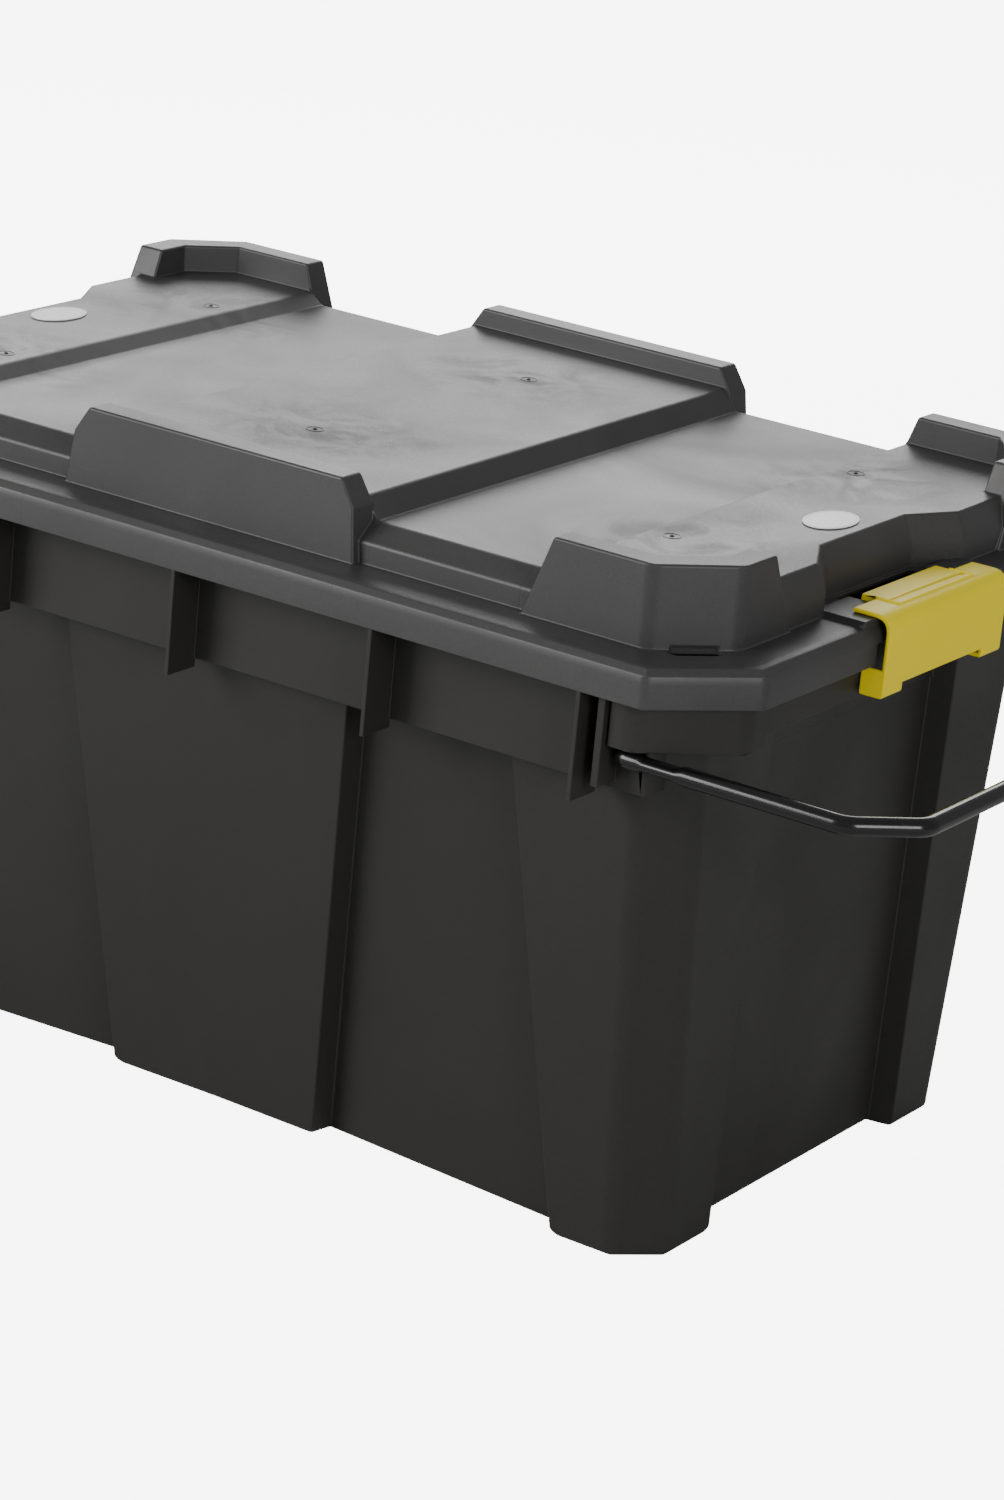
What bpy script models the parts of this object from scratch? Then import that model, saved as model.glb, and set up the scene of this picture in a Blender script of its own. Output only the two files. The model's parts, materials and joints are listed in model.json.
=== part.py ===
"""Storage trunk with a lift-off lid, two end clips, two bail handles and a lift-out tool tray.

Metres, +Z up. The origin is on the floor, under the middle of the trunk. X runs along its length,
and it is symmetric about the plane X = 0; all but the tray is symmetric about Y = 0 too.
"""

import math

import bmesh
import bpy
from mathutils import Matrix, Vector

# Overall sizes
RIM_LENGTH = 0.800
RIM_WIDTH = 0.527
TUB_HEIGHT = 0.4077
CLEARANCE = 0.0003
JOIN = 0.001
LAP = 2 * JOIN
PAST = 0.010

# Walls
TUB_WALL = 0.003
LID_WALL = 0.003
TRAY_WALL = 0.0025

# Tub: lower walls. Insets are measured from the rim's outline.
FOOT_INSET_X = 0.0475
FOOT_INSET_Y = 0.0700
SHOULDER_INSET_X = 0.0430
SHOULDER_INSET_Y = 0.0400
SHOULDER_DROP = 0.0857
POST_CHAMFER = 0.0265
POST_INNER_FOOT = 0.0710
POST_INNER_TOP = 0.1200
END_POST_Y = 0.117
PANEL_HALF_FOOT = 0.0830
PANEL_HALF_TOP = 0.1130
RELIEF_DEPTH = 0.0170
RELIEF_SLOPE = 0.003
SIDE_BOW = 0.015
FOOT_ROUND = 0.004
WALL_STEPS = 4

# Tub: collar, corner blocks and rim shelf under the lid's skirt
COLLAR_INSET_Y = 0.0275
BLOCK_INSET = 0.0120
BLOCK_CHAMFER = 0.0490
BLOCK_START_INSET = 0.0785
BLOCK_DROP = 0.0547
END_BAND_DROP = 0.0467
BLOCK_END_Y = 0.179
SHELF_THICK = 0.0026
SHELF_INSET = 0.0045
RIB_THICK = 0.003
RIB_DROP = 0.0917
RIB_INSET = 0.0010
RIB_FROM_END = 0.0950
BLOCK_LAP = 0.012
BOSS_THICK = 0.005
BOSS_SETBACK = 0.004
BOSS_RISE = 0.005
HOLE_PAST = 0.0015

# Lid
RIM_CHAMFER_X = 0.0496
RIM_CHAMFER_Y = 0.0565
SKIRT_DEPTH = 0.0255
RIM_ROUND = 0.010
RIM_ROUND_TURNS = (0, 0.5, 1.05, math.pi / 2)
UNDER_ROUND = ((0.0, 0.0), (0.0045, 0.0022), (0.0070, 0.0078))
DECK_INSET_X = 0.0335
DECK_INSET_Y = 0.0375
DECK_KNEE_RISE = 0.0140
DECK_BEVEL_X = 0.0040
DECK_BEVEL_Y = 0.0150
PLATFORM_END_LEAN = 0.52
PANEL_RISE = 0.0245
END_PLATFORM_RISE = 0.0325
CENTRE_PLATFORM_RISE = 0.0385
LEDGE_RISE = 0.0520
LEDGE_INSET = 0.0330
LEDGE_BASE_FLARE = 0.0022
LEDGE_THICK = 0.0205
CENTRE_LEDGE_HALF = 0.100
CENTRE_LEDGE_FOOT = 0.0150
CENTRE_LEDGE_KNEE = 0.0106
KNEE_DROP = 0.017
KNEE_FLARE = 0.35
CENTRE_PLATFORM_HALF = 0.1055
PLATFORM_STEP_SLOPE = 0.0110
END_PLATFORM_INNER = 0.1485
CORNER_LONG_LEG = 0.1430
CORNER_SHORT_LEG_Y = 0.1105
CORNER_CHAMFER_X = 0.0390
CORNER_CHAMFER_Y = 0.0430
CORNER_FOOT_LONG = 0.0180
CORNER_FOOT_SHORT = 0.0200
CORNER_TOP_SHORT = 0.0425
RECESS_DEPTH = 0.0195
RECESS_FLOOR_HALF = 0.0525
RECESS_MOUTH_HALF = 0.0885
STRAP_SLOT_LENGTH = 0.034
STRAP_SLOT_WIDTH = 0.010
STRAP_SLOT_INSET = 0.0225

# Clip and its hinge
PAD_HALF = 0.0870
PAD_RISE = 0.0035
PAD_INNER_INSET = 0.0400
PAD_OUTER_INSET = 0.0045
PIN_BOSS_WALL = 0.0015
PIN_BOSS_PAST = 0.003
PIN_BOSS_SINK = 0.0005
NOTCH_INSET = 0.0105
NOTCH_DROP = 0.0115
NOTCH_GAP = 0.0010
TAB_GAP = 0.0008
CLIP_HALF = 0.0750
CLIP_THICK = 0.003
CLIP_BEND = 0.010
CLIP_INNER_GAP = 0.0072
CLIP_REACH = 0.0070
CLIP_DROP = 0.0400
HOOK_DROP = 0.0465
HOOK_INNER = 0.0105
HOOK_WIDTH = 0.024
HOOK_ROUND = 0.002
CHEEK_HEIGHT = 0.018
CHEEK_CHAMFER_X = 0.004
CHEEK_CHAMFER_Z = 0.002
TAB_HALF = 0.0465
TAB_LENGTH = 0.024
TAB_RISE = 0.0006
TAB_TAPER = 0.0004
HINGE_INSET = 0.0280
PIN_RADIUS = 0.0020
KNUCKLE_RADIUS = 0.0045
PIN_END = 0.009
SLOT_INNER_INSET = 0.0500

# Bail handles
HANDLE_RADIUS = 0.006
HANDLE_REACH = 0.117
ARM_GAP = 0.0005
PIN_BEND_EXTRA = 0.0005
HANDLE_CHAMFER = 0.034
HANDLE_BEND = 0.016
PIVOT_INSET = 0.0730
PIN_PAST_WALL = 0.005
STOP_GAP = 0.0010
BUSH_WALL = 0.0020
BUSH_FLANGE = 0.0020
BUSH_PROUD = 0.0010

# Tray
TRAY_LENGTH = 0.350
TRAY_DEPTH = 0.066
TRAY_RIM_RISE = 0.014
TRAY_SIDE_GAP = 0.010
TRAY_FLANGE_GAP = 0.005
TRAY_LIP = 0.004
SPINE_SHOULDER = 0.030
GRIP_PAST = 0.010
TRAY_DRAFT = 0.005
SPINE_THICK = 0.008
SPINE_RISE = 0.052
SPINE_HALF = 0.075
GRIP_HALF = 0.055
GRIP_HEIGHT = 0.028
GRIP_BAR = 0.014
DIVIDER_THICK = 0.0025
DIVIDER_X = 0.058
DIVIDER_DROP = 0.008
GUIDE_THICK = 0.002
GUIDE_DEPTH = 0.004

# Oval label plates
LABEL_THICK = 0.0006
LABEL_HALF_X = 0.0155
LABEL_HALF_Y = 0.0240
LABEL_INSET = 0.0845

# Places worked out from the sizes above
HALF_X = RIM_LENGTH / 2
HALF_Y = RIM_WIDTH / 2
FLANGE_Z = TUB_HEIGHT + CLEARANCE + LID_WALL
SKIRT_Z = FLANGE_Z - SKIRT_DEPTH
PANEL_Z = FLANGE_Z + PANEL_RISE
END_PLATFORM_Z = FLANGE_Z + END_PLATFORM_RISE
CENTRE_PLATFORM_Z = FLANGE_Z + CENTRE_PLATFORM_RISE
LEDGE_Z = FLANGE_Z + LEDGE_RISE
SHOULDER_Z = TUB_HEIGHT - SHOULDER_DROP
BLOCK_Z = TUB_HEIGHT - BLOCK_DROP
END_BAND_Z = TUB_HEIGHT - END_BAND_DROP
RIB_Z = TUB_HEIGHT - RIB_DROP
UNDER_RIM_Z = BLOCK_Z
COLLAR_Y = HALF_Y - COLLAR_INSET_Y
BLOCK_START_X = HALF_X - BLOCK_START_INSET
PIVOT_X = HALF_X - PIVOT_INSET
PIVOT_Z = BLOCK_Z - STOP_GAP - HANDLE_RADIUS
PIN_BEND = HANDLE_RADIUS + PIN_BEND_EXTRA
ARM_Y = COLLAR_Y + BUSH_PROUD + ARM_GAP + PIN_BEND
LAST_RIB_X = HALF_X - RIB_FROM_END
HINGE_X = HALF_X - HINGE_INSET
HINGE_Z = FLANGE_Z + 0.0005
LEDGE_REST_Z = SHOULDER_Z + TUB_WALL

SIGNS = ((1, 1), (-1, 1), (-1, -1), (1, -1))


def clear_scene():
    """Remove whatever the scene holds."""
    for obj in list(bpy.data.objects):
        bpy.data.objects.remove(obj)


def new_collection(name):
    """Add a collection under the scene's own."""
    collection = bpy.data.collections.new(name)
    bpy.context.scene.collection.children.link(collection)
    return collection


def new_helpers(name):
    """Add a collection of shapes that only join or cut other shapes."""
    collection = new_collection(name)
    collection.hide_render = True
    return collection


def material(name, color, roughness, metallic=0.0):
    """Make one Principled material."""
    made = bpy.data.materials.new(name)
    made.use_nodes = True
    shader = made.node_tree.nodes["Principled BSDF"]
    shader.inputs["Base Color"].default_value = (*color, 1)
    shader.inputs["Roughness"].default_value = roughness
    shader.inputs["Metallic"].default_value = metallic
    return made


def add_object(name, mesh_builder, collection, finish=None):
    """Turn a bmesh into an object with its faces pointing out."""
    bmesh.ops.recalc_face_normals(mesh_builder, faces=mesh_builder.faces)
    mesh = bpy.data.meshes.new(name)
    mesh_builder.to_mesh(mesh)
    mesh_builder.free()
    obj = bpy.data.objects.new(name, mesh)
    collection.objects.link(obj)
    if finish:
        mesh.materials.append(finish)
    if collection.hide_render:
        obj.hide_render = True
        obj.display_type = "WIRE"
    return obj


def stack(name, levels, collection, finish=None):
    """Extrude a flat outline upward through levels of (z, outline), all with as many points."""
    shape = bmesh.new()
    first_z, first_outline = levels[0]
    corners = [shape.verts.new((x, y, first_z)) for x, y in first_outline]
    cap = shape.faces.new(corners)
    for level, (z, outline) in enumerate(levels[1:]):
        number = {vert: index for index, vert in enumerate(corners)}
        made = bmesh.ops.extrude_face_region(shape, geom=[cap])["geom"]
        if level:
            bmesh.ops.delete(shape, geom=[cap], context="FACES_ONLY")
        cap = next(item for item in made if isinstance(item, bmesh.types.BMFace))
        for vert in cap.verts:
            below = next(e.other_vert(vert) for e in vert.link_edges if e.other_vert(vert) in number)
            corners[number[below]] = vert
        for vert, (x, y) in zip(corners, outline):
            vert.co = (x, y, z)
    return add_object(name, shape, collection, finish)


def box(name, low, high, collection, finish=None):
    """A plain block between two corners."""
    shape = bmesh.new()
    bmesh.ops.create_cube(shape, size=1)
    low, high = Vector(low), Vector(high)
    for vert in shape.verts:
        vert.co = (low + high) / 2 + Vector(a * b for a, b in zip(vert.co, high - low))
    return add_object(name, shape, collection, finish)


def rod_y(name, centre, radius, y_from, y_to, collection, finish=None, sides=24):
    """A round bar along Y at centre (x, z)."""
    shape = bmesh.new()
    length = abs(y_to - y_from)
    place = Matrix.Translation((centre[0], (y_from + y_to) / 2, centre[1]))
    bmesh.ops.create_cone(
        shape, cap_ends=True, segments=sides, radius1=radius, radius2=radius, depth=length,
        matrix=place @ Matrix.Rotation(math.pi / 2, 4, "X"),
    )
    return add_object(name, shape, collection, finish)


def slab_y(name, profile, y_from, y_to, collection, finish=None):
    """Extrude a closed (x, z) profile along Y."""
    shape = bmesh.new()
    cap = shape.faces.new([shape.verts.new((x, y_from, z)) for x, z in profile])
    made = bmesh.ops.extrude_face_region(shape, geom=[cap])["geom"]
    for item in made:
        if isinstance(item, bmesh.types.BMVert):
            item.co.y = y_to
    return add_object(name, shape, collection, finish)


def combine(obj, operation, others):
    """Add a Boolean with each object of a collection."""
    for other in others.objects:
        modifier = obj.modifiers.new(other.name, "BOOLEAN")
        modifier.operation = operation
        modifier.object = other


def offset(outline, inset):
    """Move each side of a counter-clockwise outline inwards, with mitred corners."""
    moved = []
    count = len(outline)
    for index, here in enumerate(outline):
        here = Vector(here)
        before = (here - Vector(outline[index - 1])).normalized()
        after = (Vector(outline[(index + 1) % count]) - here).normalized()
        normal_a, normal_b = Vector((-before.y, before.x)), Vector((-after.y, after.x))
        middle = (normal_a + normal_b).normalized()
        moved.append(tuple(here + middle * inset / middle.dot(normal_a)))
    return moved


def four_way(quarter):
    """A whole counter-clockwise outline from its first quarter, which runs from +X to +Y."""
    outline = []
    for sign_x, sign_y in SIGNS:
        points = [(sign_x * x, sign_y * y) for x, y in quarter]
        outline += points if sign_x * sign_y > 0 else points[::-1]
    return [p for i, p in enumerate(outline) if (Vector(p) - Vector(outline[i - 1])).length > 1e-6]


def signed(points, sign_x, sign_y):
    """Mirror an outline into another quarter and keep it counter-clockwise."""
    moved = [(sign_x * x, sign_y * y) for x, y in points]
    return moved if sign_x * sign_y > 0 else moved[::-1]


def chamfered(half_x, half_y, chamfer_x, chamfer_y):
    """A rectangle with its corners cut off."""
    return four_way([(half_x, half_y - chamfer_y), (half_x - chamfer_x, half_y)])


def rectangle(half_x, half_y):
    """A plain rectangle outline."""
    return [(half_x, half_y), (-half_x, half_y), (-half_x, -half_y), (half_x, -half_y)]


def wall_halves(z):
    """Half the length and half the width of the tub's lower wall at one height, and its bow."""
    share = z / SHOULDER_Z
    half_x = HALF_X - FOOT_INSET_X + share * (FOOT_INSET_X - SHOULDER_INSET_X)
    half_y = HALF_Y - FOOT_INSET_Y + share * (FOOT_INSET_Y - SHOULDER_INSET_Y)
    return half_x, half_y, SIDE_BOW * (1 - share)


def wall_outline(z, inset=0.0):
    """The tub's lower wall at one height: corner posts, centre panels and the recesses between."""
    share = z / SHOULDER_Z
    half_x, half_y, bow = wall_halves(z)
    post_inner = half_x - POST_INNER_FOOT - share * (POST_INNER_TOP - POST_INNER_FOOT)
    panel_half = PANEL_HALF_FOOT + share * (PANEL_HALF_TOP - PANEL_HALF_FOOT)
    panel_bow = bow * (1 - (panel_half / post_inner) ** 2)
    slope, depth = RELIEF_SLOPE, RELIEF_DEPTH
    quarter = [
        (half_x - depth, END_POST_Y - slope),
        (half_x, END_POST_Y),
        (half_x, half_y - POST_CHAMFER),
        (half_x - POST_CHAMFER, half_y),
        (post_inner, half_y),
        (post_inner - slope, half_y - depth),
        (panel_half + slope, half_y - depth - panel_bow),
        (panel_half, half_y - panel_bow),
        (0.0, half_y - bow),
    ]
    return offset(four_way(quarter), inset)


def block_outline(inset=0.0):
    """The corner block's outline in the first quarter."""
    outer_x, outer_y = HALF_X - BLOCK_INSET, HALF_Y - BLOCK_INSET
    inner_x, inner_y = HALF_X - SHOULDER_INSET_X - BLOCK_LAP, HALF_Y - SHOULDER_INSET_Y - BLOCK_LAP
    return offset(
        [
            (BLOCK_START_X, inner_y), (inner_x, BLOCK_END_Y), (outer_x, BLOCK_END_Y),
            (outer_x, outer_y - BLOCK_CHAMFER), (outer_x - BLOCK_CHAMFER, outer_y),
            (BLOCK_START_X, outer_y),
        ],
        inset,
    )


def band_outline(inset=0.0):
    """The tub's rim band: corner blocks and ends stand out, the long sides are set back."""
    outer_x, outer_y = HALF_X - BLOCK_INSET, HALF_Y - BLOCK_INSET
    quarter = [
        (outer_x, outer_y - BLOCK_CHAMFER), (outer_x - BLOCK_CHAMFER, outer_y),
        (BLOCK_START_X, outer_y), (BLOCK_START_X, COLLAR_Y),
    ]
    return offset(four_way(quarter), inset)


def build_tub(parts, plastic):
    """One moulded tub: tapered walls, collar, ribs, rim shelf and pivot bosses."""
    added = new_helpers("tub_added")
    removed = new_helpers("tub_removed")
    top = TUB_HEIGHT + PAST
    wall_top = END_BAND_Z + TUB_WALL
    middle = [SHOULDER_Z * step / WALL_STEPS for step in range(1, WALL_STEPS + 1)]
    levels = [(0.0, wall_outline(0.0, FOOT_ROUND))]
    levels += [(z, wall_outline(z)) for z in [FOOT_ROUND, *middle, wall_top]]
    tub = stack("tub", levels, parts, plastic)
    collar_half_x = PIVOT_X + HANDLE_RADIUS + BUSH_WALL + BUSH_FLANGE + TUB_WALL + 5 * CLEARANCE
    collar = rectangle(collar_half_x, COLLAR_Y)
    stack("collar", [(SHOULDER_Z, collar), (END_BAND_Z + PAST, collar)], added)
    stack("rim_band", [(END_BAND_Z, band_outline()), (TUB_HEIGHT, band_outline())], added)
    for index, (sign_x, sign_y) in enumerate(SIGNS):
        block = signed(block_outline(), sign_x, sign_y)
        stack(f"corner_block_{index}", [(BLOCK_Z, block), (END_BAND_Z + LAP, block)], added)
    shelf_top = SKIRT_Z + SHELF_THICK
    for sign_y in (1, -1):
        wall_side, edge = sign_y * (COLLAR_Y - TUB_WALL / 2), sign_y * (HALF_Y - SHELF_INSET)
        low_y, high_y = sorted((wall_side, edge))
        box(f"shelf_{sign_y}", (-BLOCK_START_X, low_y, SKIRT_Z), (BLOCK_START_X, high_y, shelf_top), added)
        low_y, high_y = sorted((wall_side, sign_y * (HALF_Y - RIB_INSET)))
        for step in range(-2, 3):
            x = step * LAST_RIB_X / 2
            box(
                f"rib_{sign_y}_{step}",
                (x - RIB_THICK / 2, low_y, RIB_Z),
                (x + RIB_THICK / 2, high_y, SKIRT_Z - CLEARANCE), added,
            )
            joined_y = sorted((wall_side, edge))
            box(
                f"rib_top_{sign_y}_{step}",
                (x - RIB_THICK / 2, joined_y[0], SKIRT_Z - LAP),
                (x + RIB_THICK / 2, joined_y[1], SKIRT_Z + JOIN), added,
            )
        for sign_x in (1, -1):
            outer = PIVOT_X - HANDLE_RADIUS - STOP_GAP
            low_x, high_x = sorted((sign_x * (outer - BOSS_THICK), sign_x * outer))
            boss_y = sorted((wall_side, sign_y * (HALF_Y - BLOCK_INSET + BOSS_SETBACK)))
            box(
                f"pivot_boss_{sign_x}_{sign_y}",
                (low_x, boss_y[0], SHOULDER_Z + BOSS_RISE), (high_x, boss_y[1], SKIRT_Z + JOIN), added,
            )
            rod_y(
                f"pivot_hole_{sign_x}_{sign_y}", (sign_x * PIVOT_X, PIVOT_Z),
                HANDLE_RADIUS + 2 * CLEARANCE + BUSH_WALL + CLEARANCE,
                sign_y * (COLLAR_Y - TUB_WALL - LAP), sign_y * (COLLAR_Y + HOLE_PAST), removed,
            )
    lower = [(z, wall_outline(z, TUB_WALL)) for z in [TUB_WALL, *middle, wall_top + LAP]]
    stack("lower_cavity", lower, removed)
    inner_collar = rectangle(collar_half_x - TUB_WALL, COLLAR_Y - TUB_WALL)
    stack("collar_cavity", [(LEDGE_REST_Z, inner_collar), (top, inner_collar)], removed)
    for index, (sign_x, sign_y) in enumerate(SIGNS):
        hollow = signed(block_outline(TUB_WALL), sign_x, sign_y)
        stack(f"block_cavity_{index}", [(BLOCK_Z + TUB_WALL, hollow), (wall_top + JOIN, hollow)], removed)
    inner_band = band_outline(TUB_WALL)
    stack("band_cavity", [(wall_top, inner_band), (top, inner_band)], removed)
    combine(tub, "UNION", added)
    combine(tub, "DIFFERENCE", removed)
    return tub


def deck_outline(half_x, half_y, recess_x):
    """The lid's deck: a chamfered rectangle, notched at both ends for the clips."""
    return four_way([
        (recess_x, RECESS_FLOOR_HALF), (half_x, RECESS_MOUTH_HALF),
        (half_x, half_y - CORNER_CHAMFER_Y), (half_x - CORNER_CHAMFER_X, half_y),
    ])


def deck_levels(wall):
    """Levels of the deck's sides: upright to the knee, a bevel to the panels, then up to the platforms."""
    deck_x, deck_y = HALF_X - DECK_INSET_X, HALF_Y - DECK_INSET_Y
    recess_x = deck_x - RECESS_DEPTH
    bevel_x = deck_x - DECK_BEVEL_X
    above = CENTRE_PLATFORM_Z - PANEL_Z
    top_x = bevel_x - above * PLATFORM_END_LEAN
    levels = [
        (FLANGE_Z - LID_WALL / 2, deck_outline(deck_x, deck_y, recess_x)),
        (FLANGE_Z + DECK_KNEE_RISE, deck_outline(deck_x, deck_y, recess_x)),
        (PANEL_Z, deck_outline(bevel_x, deck_y - DECK_BEVEL_Y, recess_x - DECK_BEVEL_X)),
        (
            CENTRE_PLATFORM_Z + JOIN,
            deck_outline(top_x, deck_y - DECK_BEVEL_Y, recess_x + top_x - deck_x),
        ),
    ]
    if wall:
        levels = [(z, offset(outline, wall)) for z, outline in levels]
        levels[0] = (FLANGE_Z - 2 * LID_WALL, levels[0][1])
    return levels


def over_deck(name, sink, collection):
    """The air above the deck: its underside steps up over the centre platform and the end platforms."""
    end_x = HALF_X - END_PLATFORM_INNER + sink
    centre_x = CENTRE_PLATFORM_HALF - sink
    slope = PLATFORM_STEP_SLOPE
    right = [
        (centre_x, CENTRE_PLATFORM_Z), (centre_x + slope, PANEL_Z),
        (end_x - slope, PANEL_Z), (end_x, END_PLATFORM_Z), (HALF_X, END_PLATFORM_Z),
    ]
    under = [(-x, z - sink) for x, z in right[::-1]] + [(x, z - sink) for x, z in right]
    over = [(HALF_X, LEDGE_Z), (-HALF_X, LEDGE_Z)]
    return slab_y(name, under + over, -HALF_Y, HALF_Y, collection)


def corner_outline(grow, long_leg, short_leg_y, thick):
    """The ledge that wraps a corner of the lid, in the first quarter."""
    outer_x = HALF_X - LEDGE_INSET + grow
    outer_y = HALF_Y - LEDGE_INSET + grow
    leg_x = HALF_X - long_leg
    slant = thick * math.tan(math.pi / 8)
    return [
        (outer_x, short_leg_y),
        (outer_x, outer_y - CORNER_CHAMFER_Y),
        (outer_x - CORNER_CHAMFER_X, outer_y),
        (leg_x, outer_y),
        (leg_x, outer_y - thick),
        (outer_x - CORNER_CHAMFER_X - slant, outer_y - thick),
        (outer_x - thick, outer_y - CORNER_CHAMFER_Y - slant),
        (outer_x - thick, short_leg_y),
    ]


def ledge_outline(half_x, outer_y, inner_y):
    """The straight ledge at the middle of a long side, on +Y."""
    return [(half_x, inner_y), (half_x, outer_y), (-half_x, outer_y), (-half_x, inner_y)]


def hollowed(levels):
    """The inside of a raised shape: one wall thickness in from its sides and under its top."""
    inner = [(z, offset(outline, LID_WALL)) for z, outline in levels]
    inner[0] = (FLANGE_Z - LID_WALL - LAP, inner[0][1])
    inner[-1] = (inner[-1][0] - LID_WALL, inner[-1][1])
    return inner


def ledges():
    """(name, levels) of each stacking ledge on the lid's top."""
    base = FLANGE_Z - LID_WALL / 2
    shapes = []
    top_y = HALF_Y - LEDGE_INSET
    knee_z = LEDGE_Z - KNEE_DROP
    for sign_y in (1, -1):
        levels = []
        for z, half_x, flare in (
            (base, CENTRE_LEDGE_FOOT, 1.0), (knee_z, CENTRE_LEDGE_KNEE, KNEE_FLARE), (LEDGE_Z, 0.0, 0.0),
        ):
            outer_y = top_y + flare * LEDGE_BASE_FLARE
            inner_y = top_y - LEDGE_THICK - flare * LEDGE_BASE_FLARE
            outline = ledge_outline(CENTRE_LEDGE_HALF + half_x, outer_y, inner_y)
            levels.append((z, signed(outline, 1, sign_y)))
        shapes.append((f"centre_ledge_{sign_y}", levels))
    for index, (sign_x, sign_y) in enumerate(SIGNS):
        thick = LEDGE_THICK
        foot = corner_outline(
            LEDGE_BASE_FLARE, CORNER_LONG_LEG + CORNER_FOOT_LONG,
            CORNER_SHORT_LEG_Y + CORNER_FOOT_SHORT, thick + 2 * LEDGE_BASE_FLARE,
        )
        top = corner_outline(0.0, CORNER_LONG_LEG, CORNER_SHORT_LEG_Y + CORNER_TOP_SHORT, thick)
        shapes.append((
            f"corner_ledge_{index}",
            [(base, signed(foot, sign_x, sign_y)), (LEDGE_Z, signed(top, sign_x, sign_y))],
        ))
    return shapes


def build_lid(parts, plastic):
    """One moulded lid: rolled rim and skirt, raised deck, platforms and stacking ledges."""
    added = new_helpers("lid_added")
    removed = new_helpers("lid_removed")
    rim = chamfered(HALF_X, HALF_Y, RIM_CHAMFER_X, RIM_CHAMFER_Y)
    turn = [(RIM_ROUND * (1 - math.cos(a)), RIM_ROUND * math.sin(a)) for a in RIM_ROUND_TURNS]
    start = FLANGE_Z - RIM_ROUND
    outer = [(SKIRT_Z, rim)] + [(start + rise, offset(rim, inset)) for inset, rise in turn]
    lid = stack("lid", outer, parts, plastic)
    inner = [(SKIRT_Z - LAP, offset(rim, LID_WALL))]
    inner += [(start + rise, offset(rim, LID_WALL + inset)) for rise, inset in UNDER_ROUND]
    stack("under_rim", inner, removed)
    for name, wall, group in (("deck", 0.0, added), ("deck_cavity", LID_WALL, removed)):
        deck = stack(name, deck_levels(wall), group)
        air = new_helpers(f"over_{name}")
        over_deck(f"air_over_{name}", wall, air)
        combine(deck, "DIFFERENCE", air)
    for name, levels in ledges():
        stack(name, levels, added)
        stack(f"{name}_cavity", hollowed(levels), removed)
    for sign_x in (1, -1):
        build_clip_seat(sign_x, added, removed)
    for index, (sign_x, sign_y) in enumerate(SIGNS):
        strap_slot(f"strap_slot_{index}", sign_x, sign_y, removed)
    combine(lid, "UNION", added)
    combine(lid, "DIFFERENCE", removed)
    return lid


def build_clip_seat(sign_x, added, removed):
    """The raised pad under a clip, with its hinge slot, pin bosses and the notch in the skirt."""
    def span(near, far):
        return sorted((sign_x * near, sign_x * far))

    low_x, high_x = span(HALF_X - PAD_INNER_INSET, HALF_X - PAD_OUTER_INSET)
    pad_z = FLANGE_Z + PAD_RISE
    box(f"pad_{sign_x}", (low_x, -PAD_HALF, FLANGE_Z - LAP), (high_x, PAD_HALF, pad_z), added)
    boss = KNUCKLE_RADIUS + PIN_BOSS_WALL
    slot_half = TAB_HALF + 2 * CLEARANCE
    for sign_y in (1, -1):
        low_y, high_y = sorted((sign_y * slot_half, sign_y * (TAB_HALF + PIN_END + PIN_BOSS_PAST)))
        low_x, high_x = span(HINGE_X - boss, HINGE_X + boss)
        box(
            f"pin_boss_{sign_x}_{sign_y}", (low_x, low_y, HINGE_Z - boss),
            (high_x, high_y, pad_z - PIN_BOSS_SINK), added,
        )
    reach = TAB_HALF + PIN_END + 2 * CLEARANCE
    rod_y(f"pin_hole_{sign_x}", (sign_x * HINGE_X, HINGE_Z), PIN_RADIUS + CLEARANCE, -reach, reach, removed)
    low_x, high_x = span(HALF_X - SLOT_INNER_INSET, HINGE_X + KNUCKLE_RADIUS + TAB_GAP)
    box(
        f"hinge_slot_{sign_x}", (low_x, -slot_half, UNDER_RIM_Z),
        (high_x, slot_half, pad_z + PAST), removed,
    )
    low_x, high_x = span(HALF_X - NOTCH_INSET, HALF_X + PAST)
    notch_half = CLIP_HALF + NOTCH_GAP
    box(
        f"skirt_notch_{sign_x}", (low_x, -notch_half, UNDER_RIM_Z),
        (high_x, notch_half, FLANGE_Z - NOTCH_DROP), removed,
    )


def strap_slot(name, sign_x, sign_y, removed):
    """A long hole through the flange beside a chamfered corner, square to the corner's diagonal."""
    middle = Vector((HALF_X - RIM_CHAMFER_X / 2, HALF_Y - RIM_CHAMFER_Y / 2))
    middle -= Vector((STRAP_SLOT_INSET, STRAP_SLOT_INSET))
    along = Vector((-RIM_CHAMFER_X, RIM_CHAMFER_Y)).normalized()
    across = Vector((along.y, -along.x))
    radius = STRAP_SLOT_WIDTH / 2
    straight = STRAP_SLOT_LENGTH / 2 - radius
    outline = []
    for end in (1, -1):
        for step in range(7):
            turn = math.pi * step / 6
            outward = across * math.cos(turn) * radius * end + along * math.sin(turn) * radius * end
            outline.append(tuple(middle + along * straight * end + outward))
    slot = signed(outline, sign_x, sign_y)
    stack(name, [(FLANGE_Z - 2 * LID_WALL, slot), (FLANGE_Z + LAP, slot)], removed)


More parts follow.
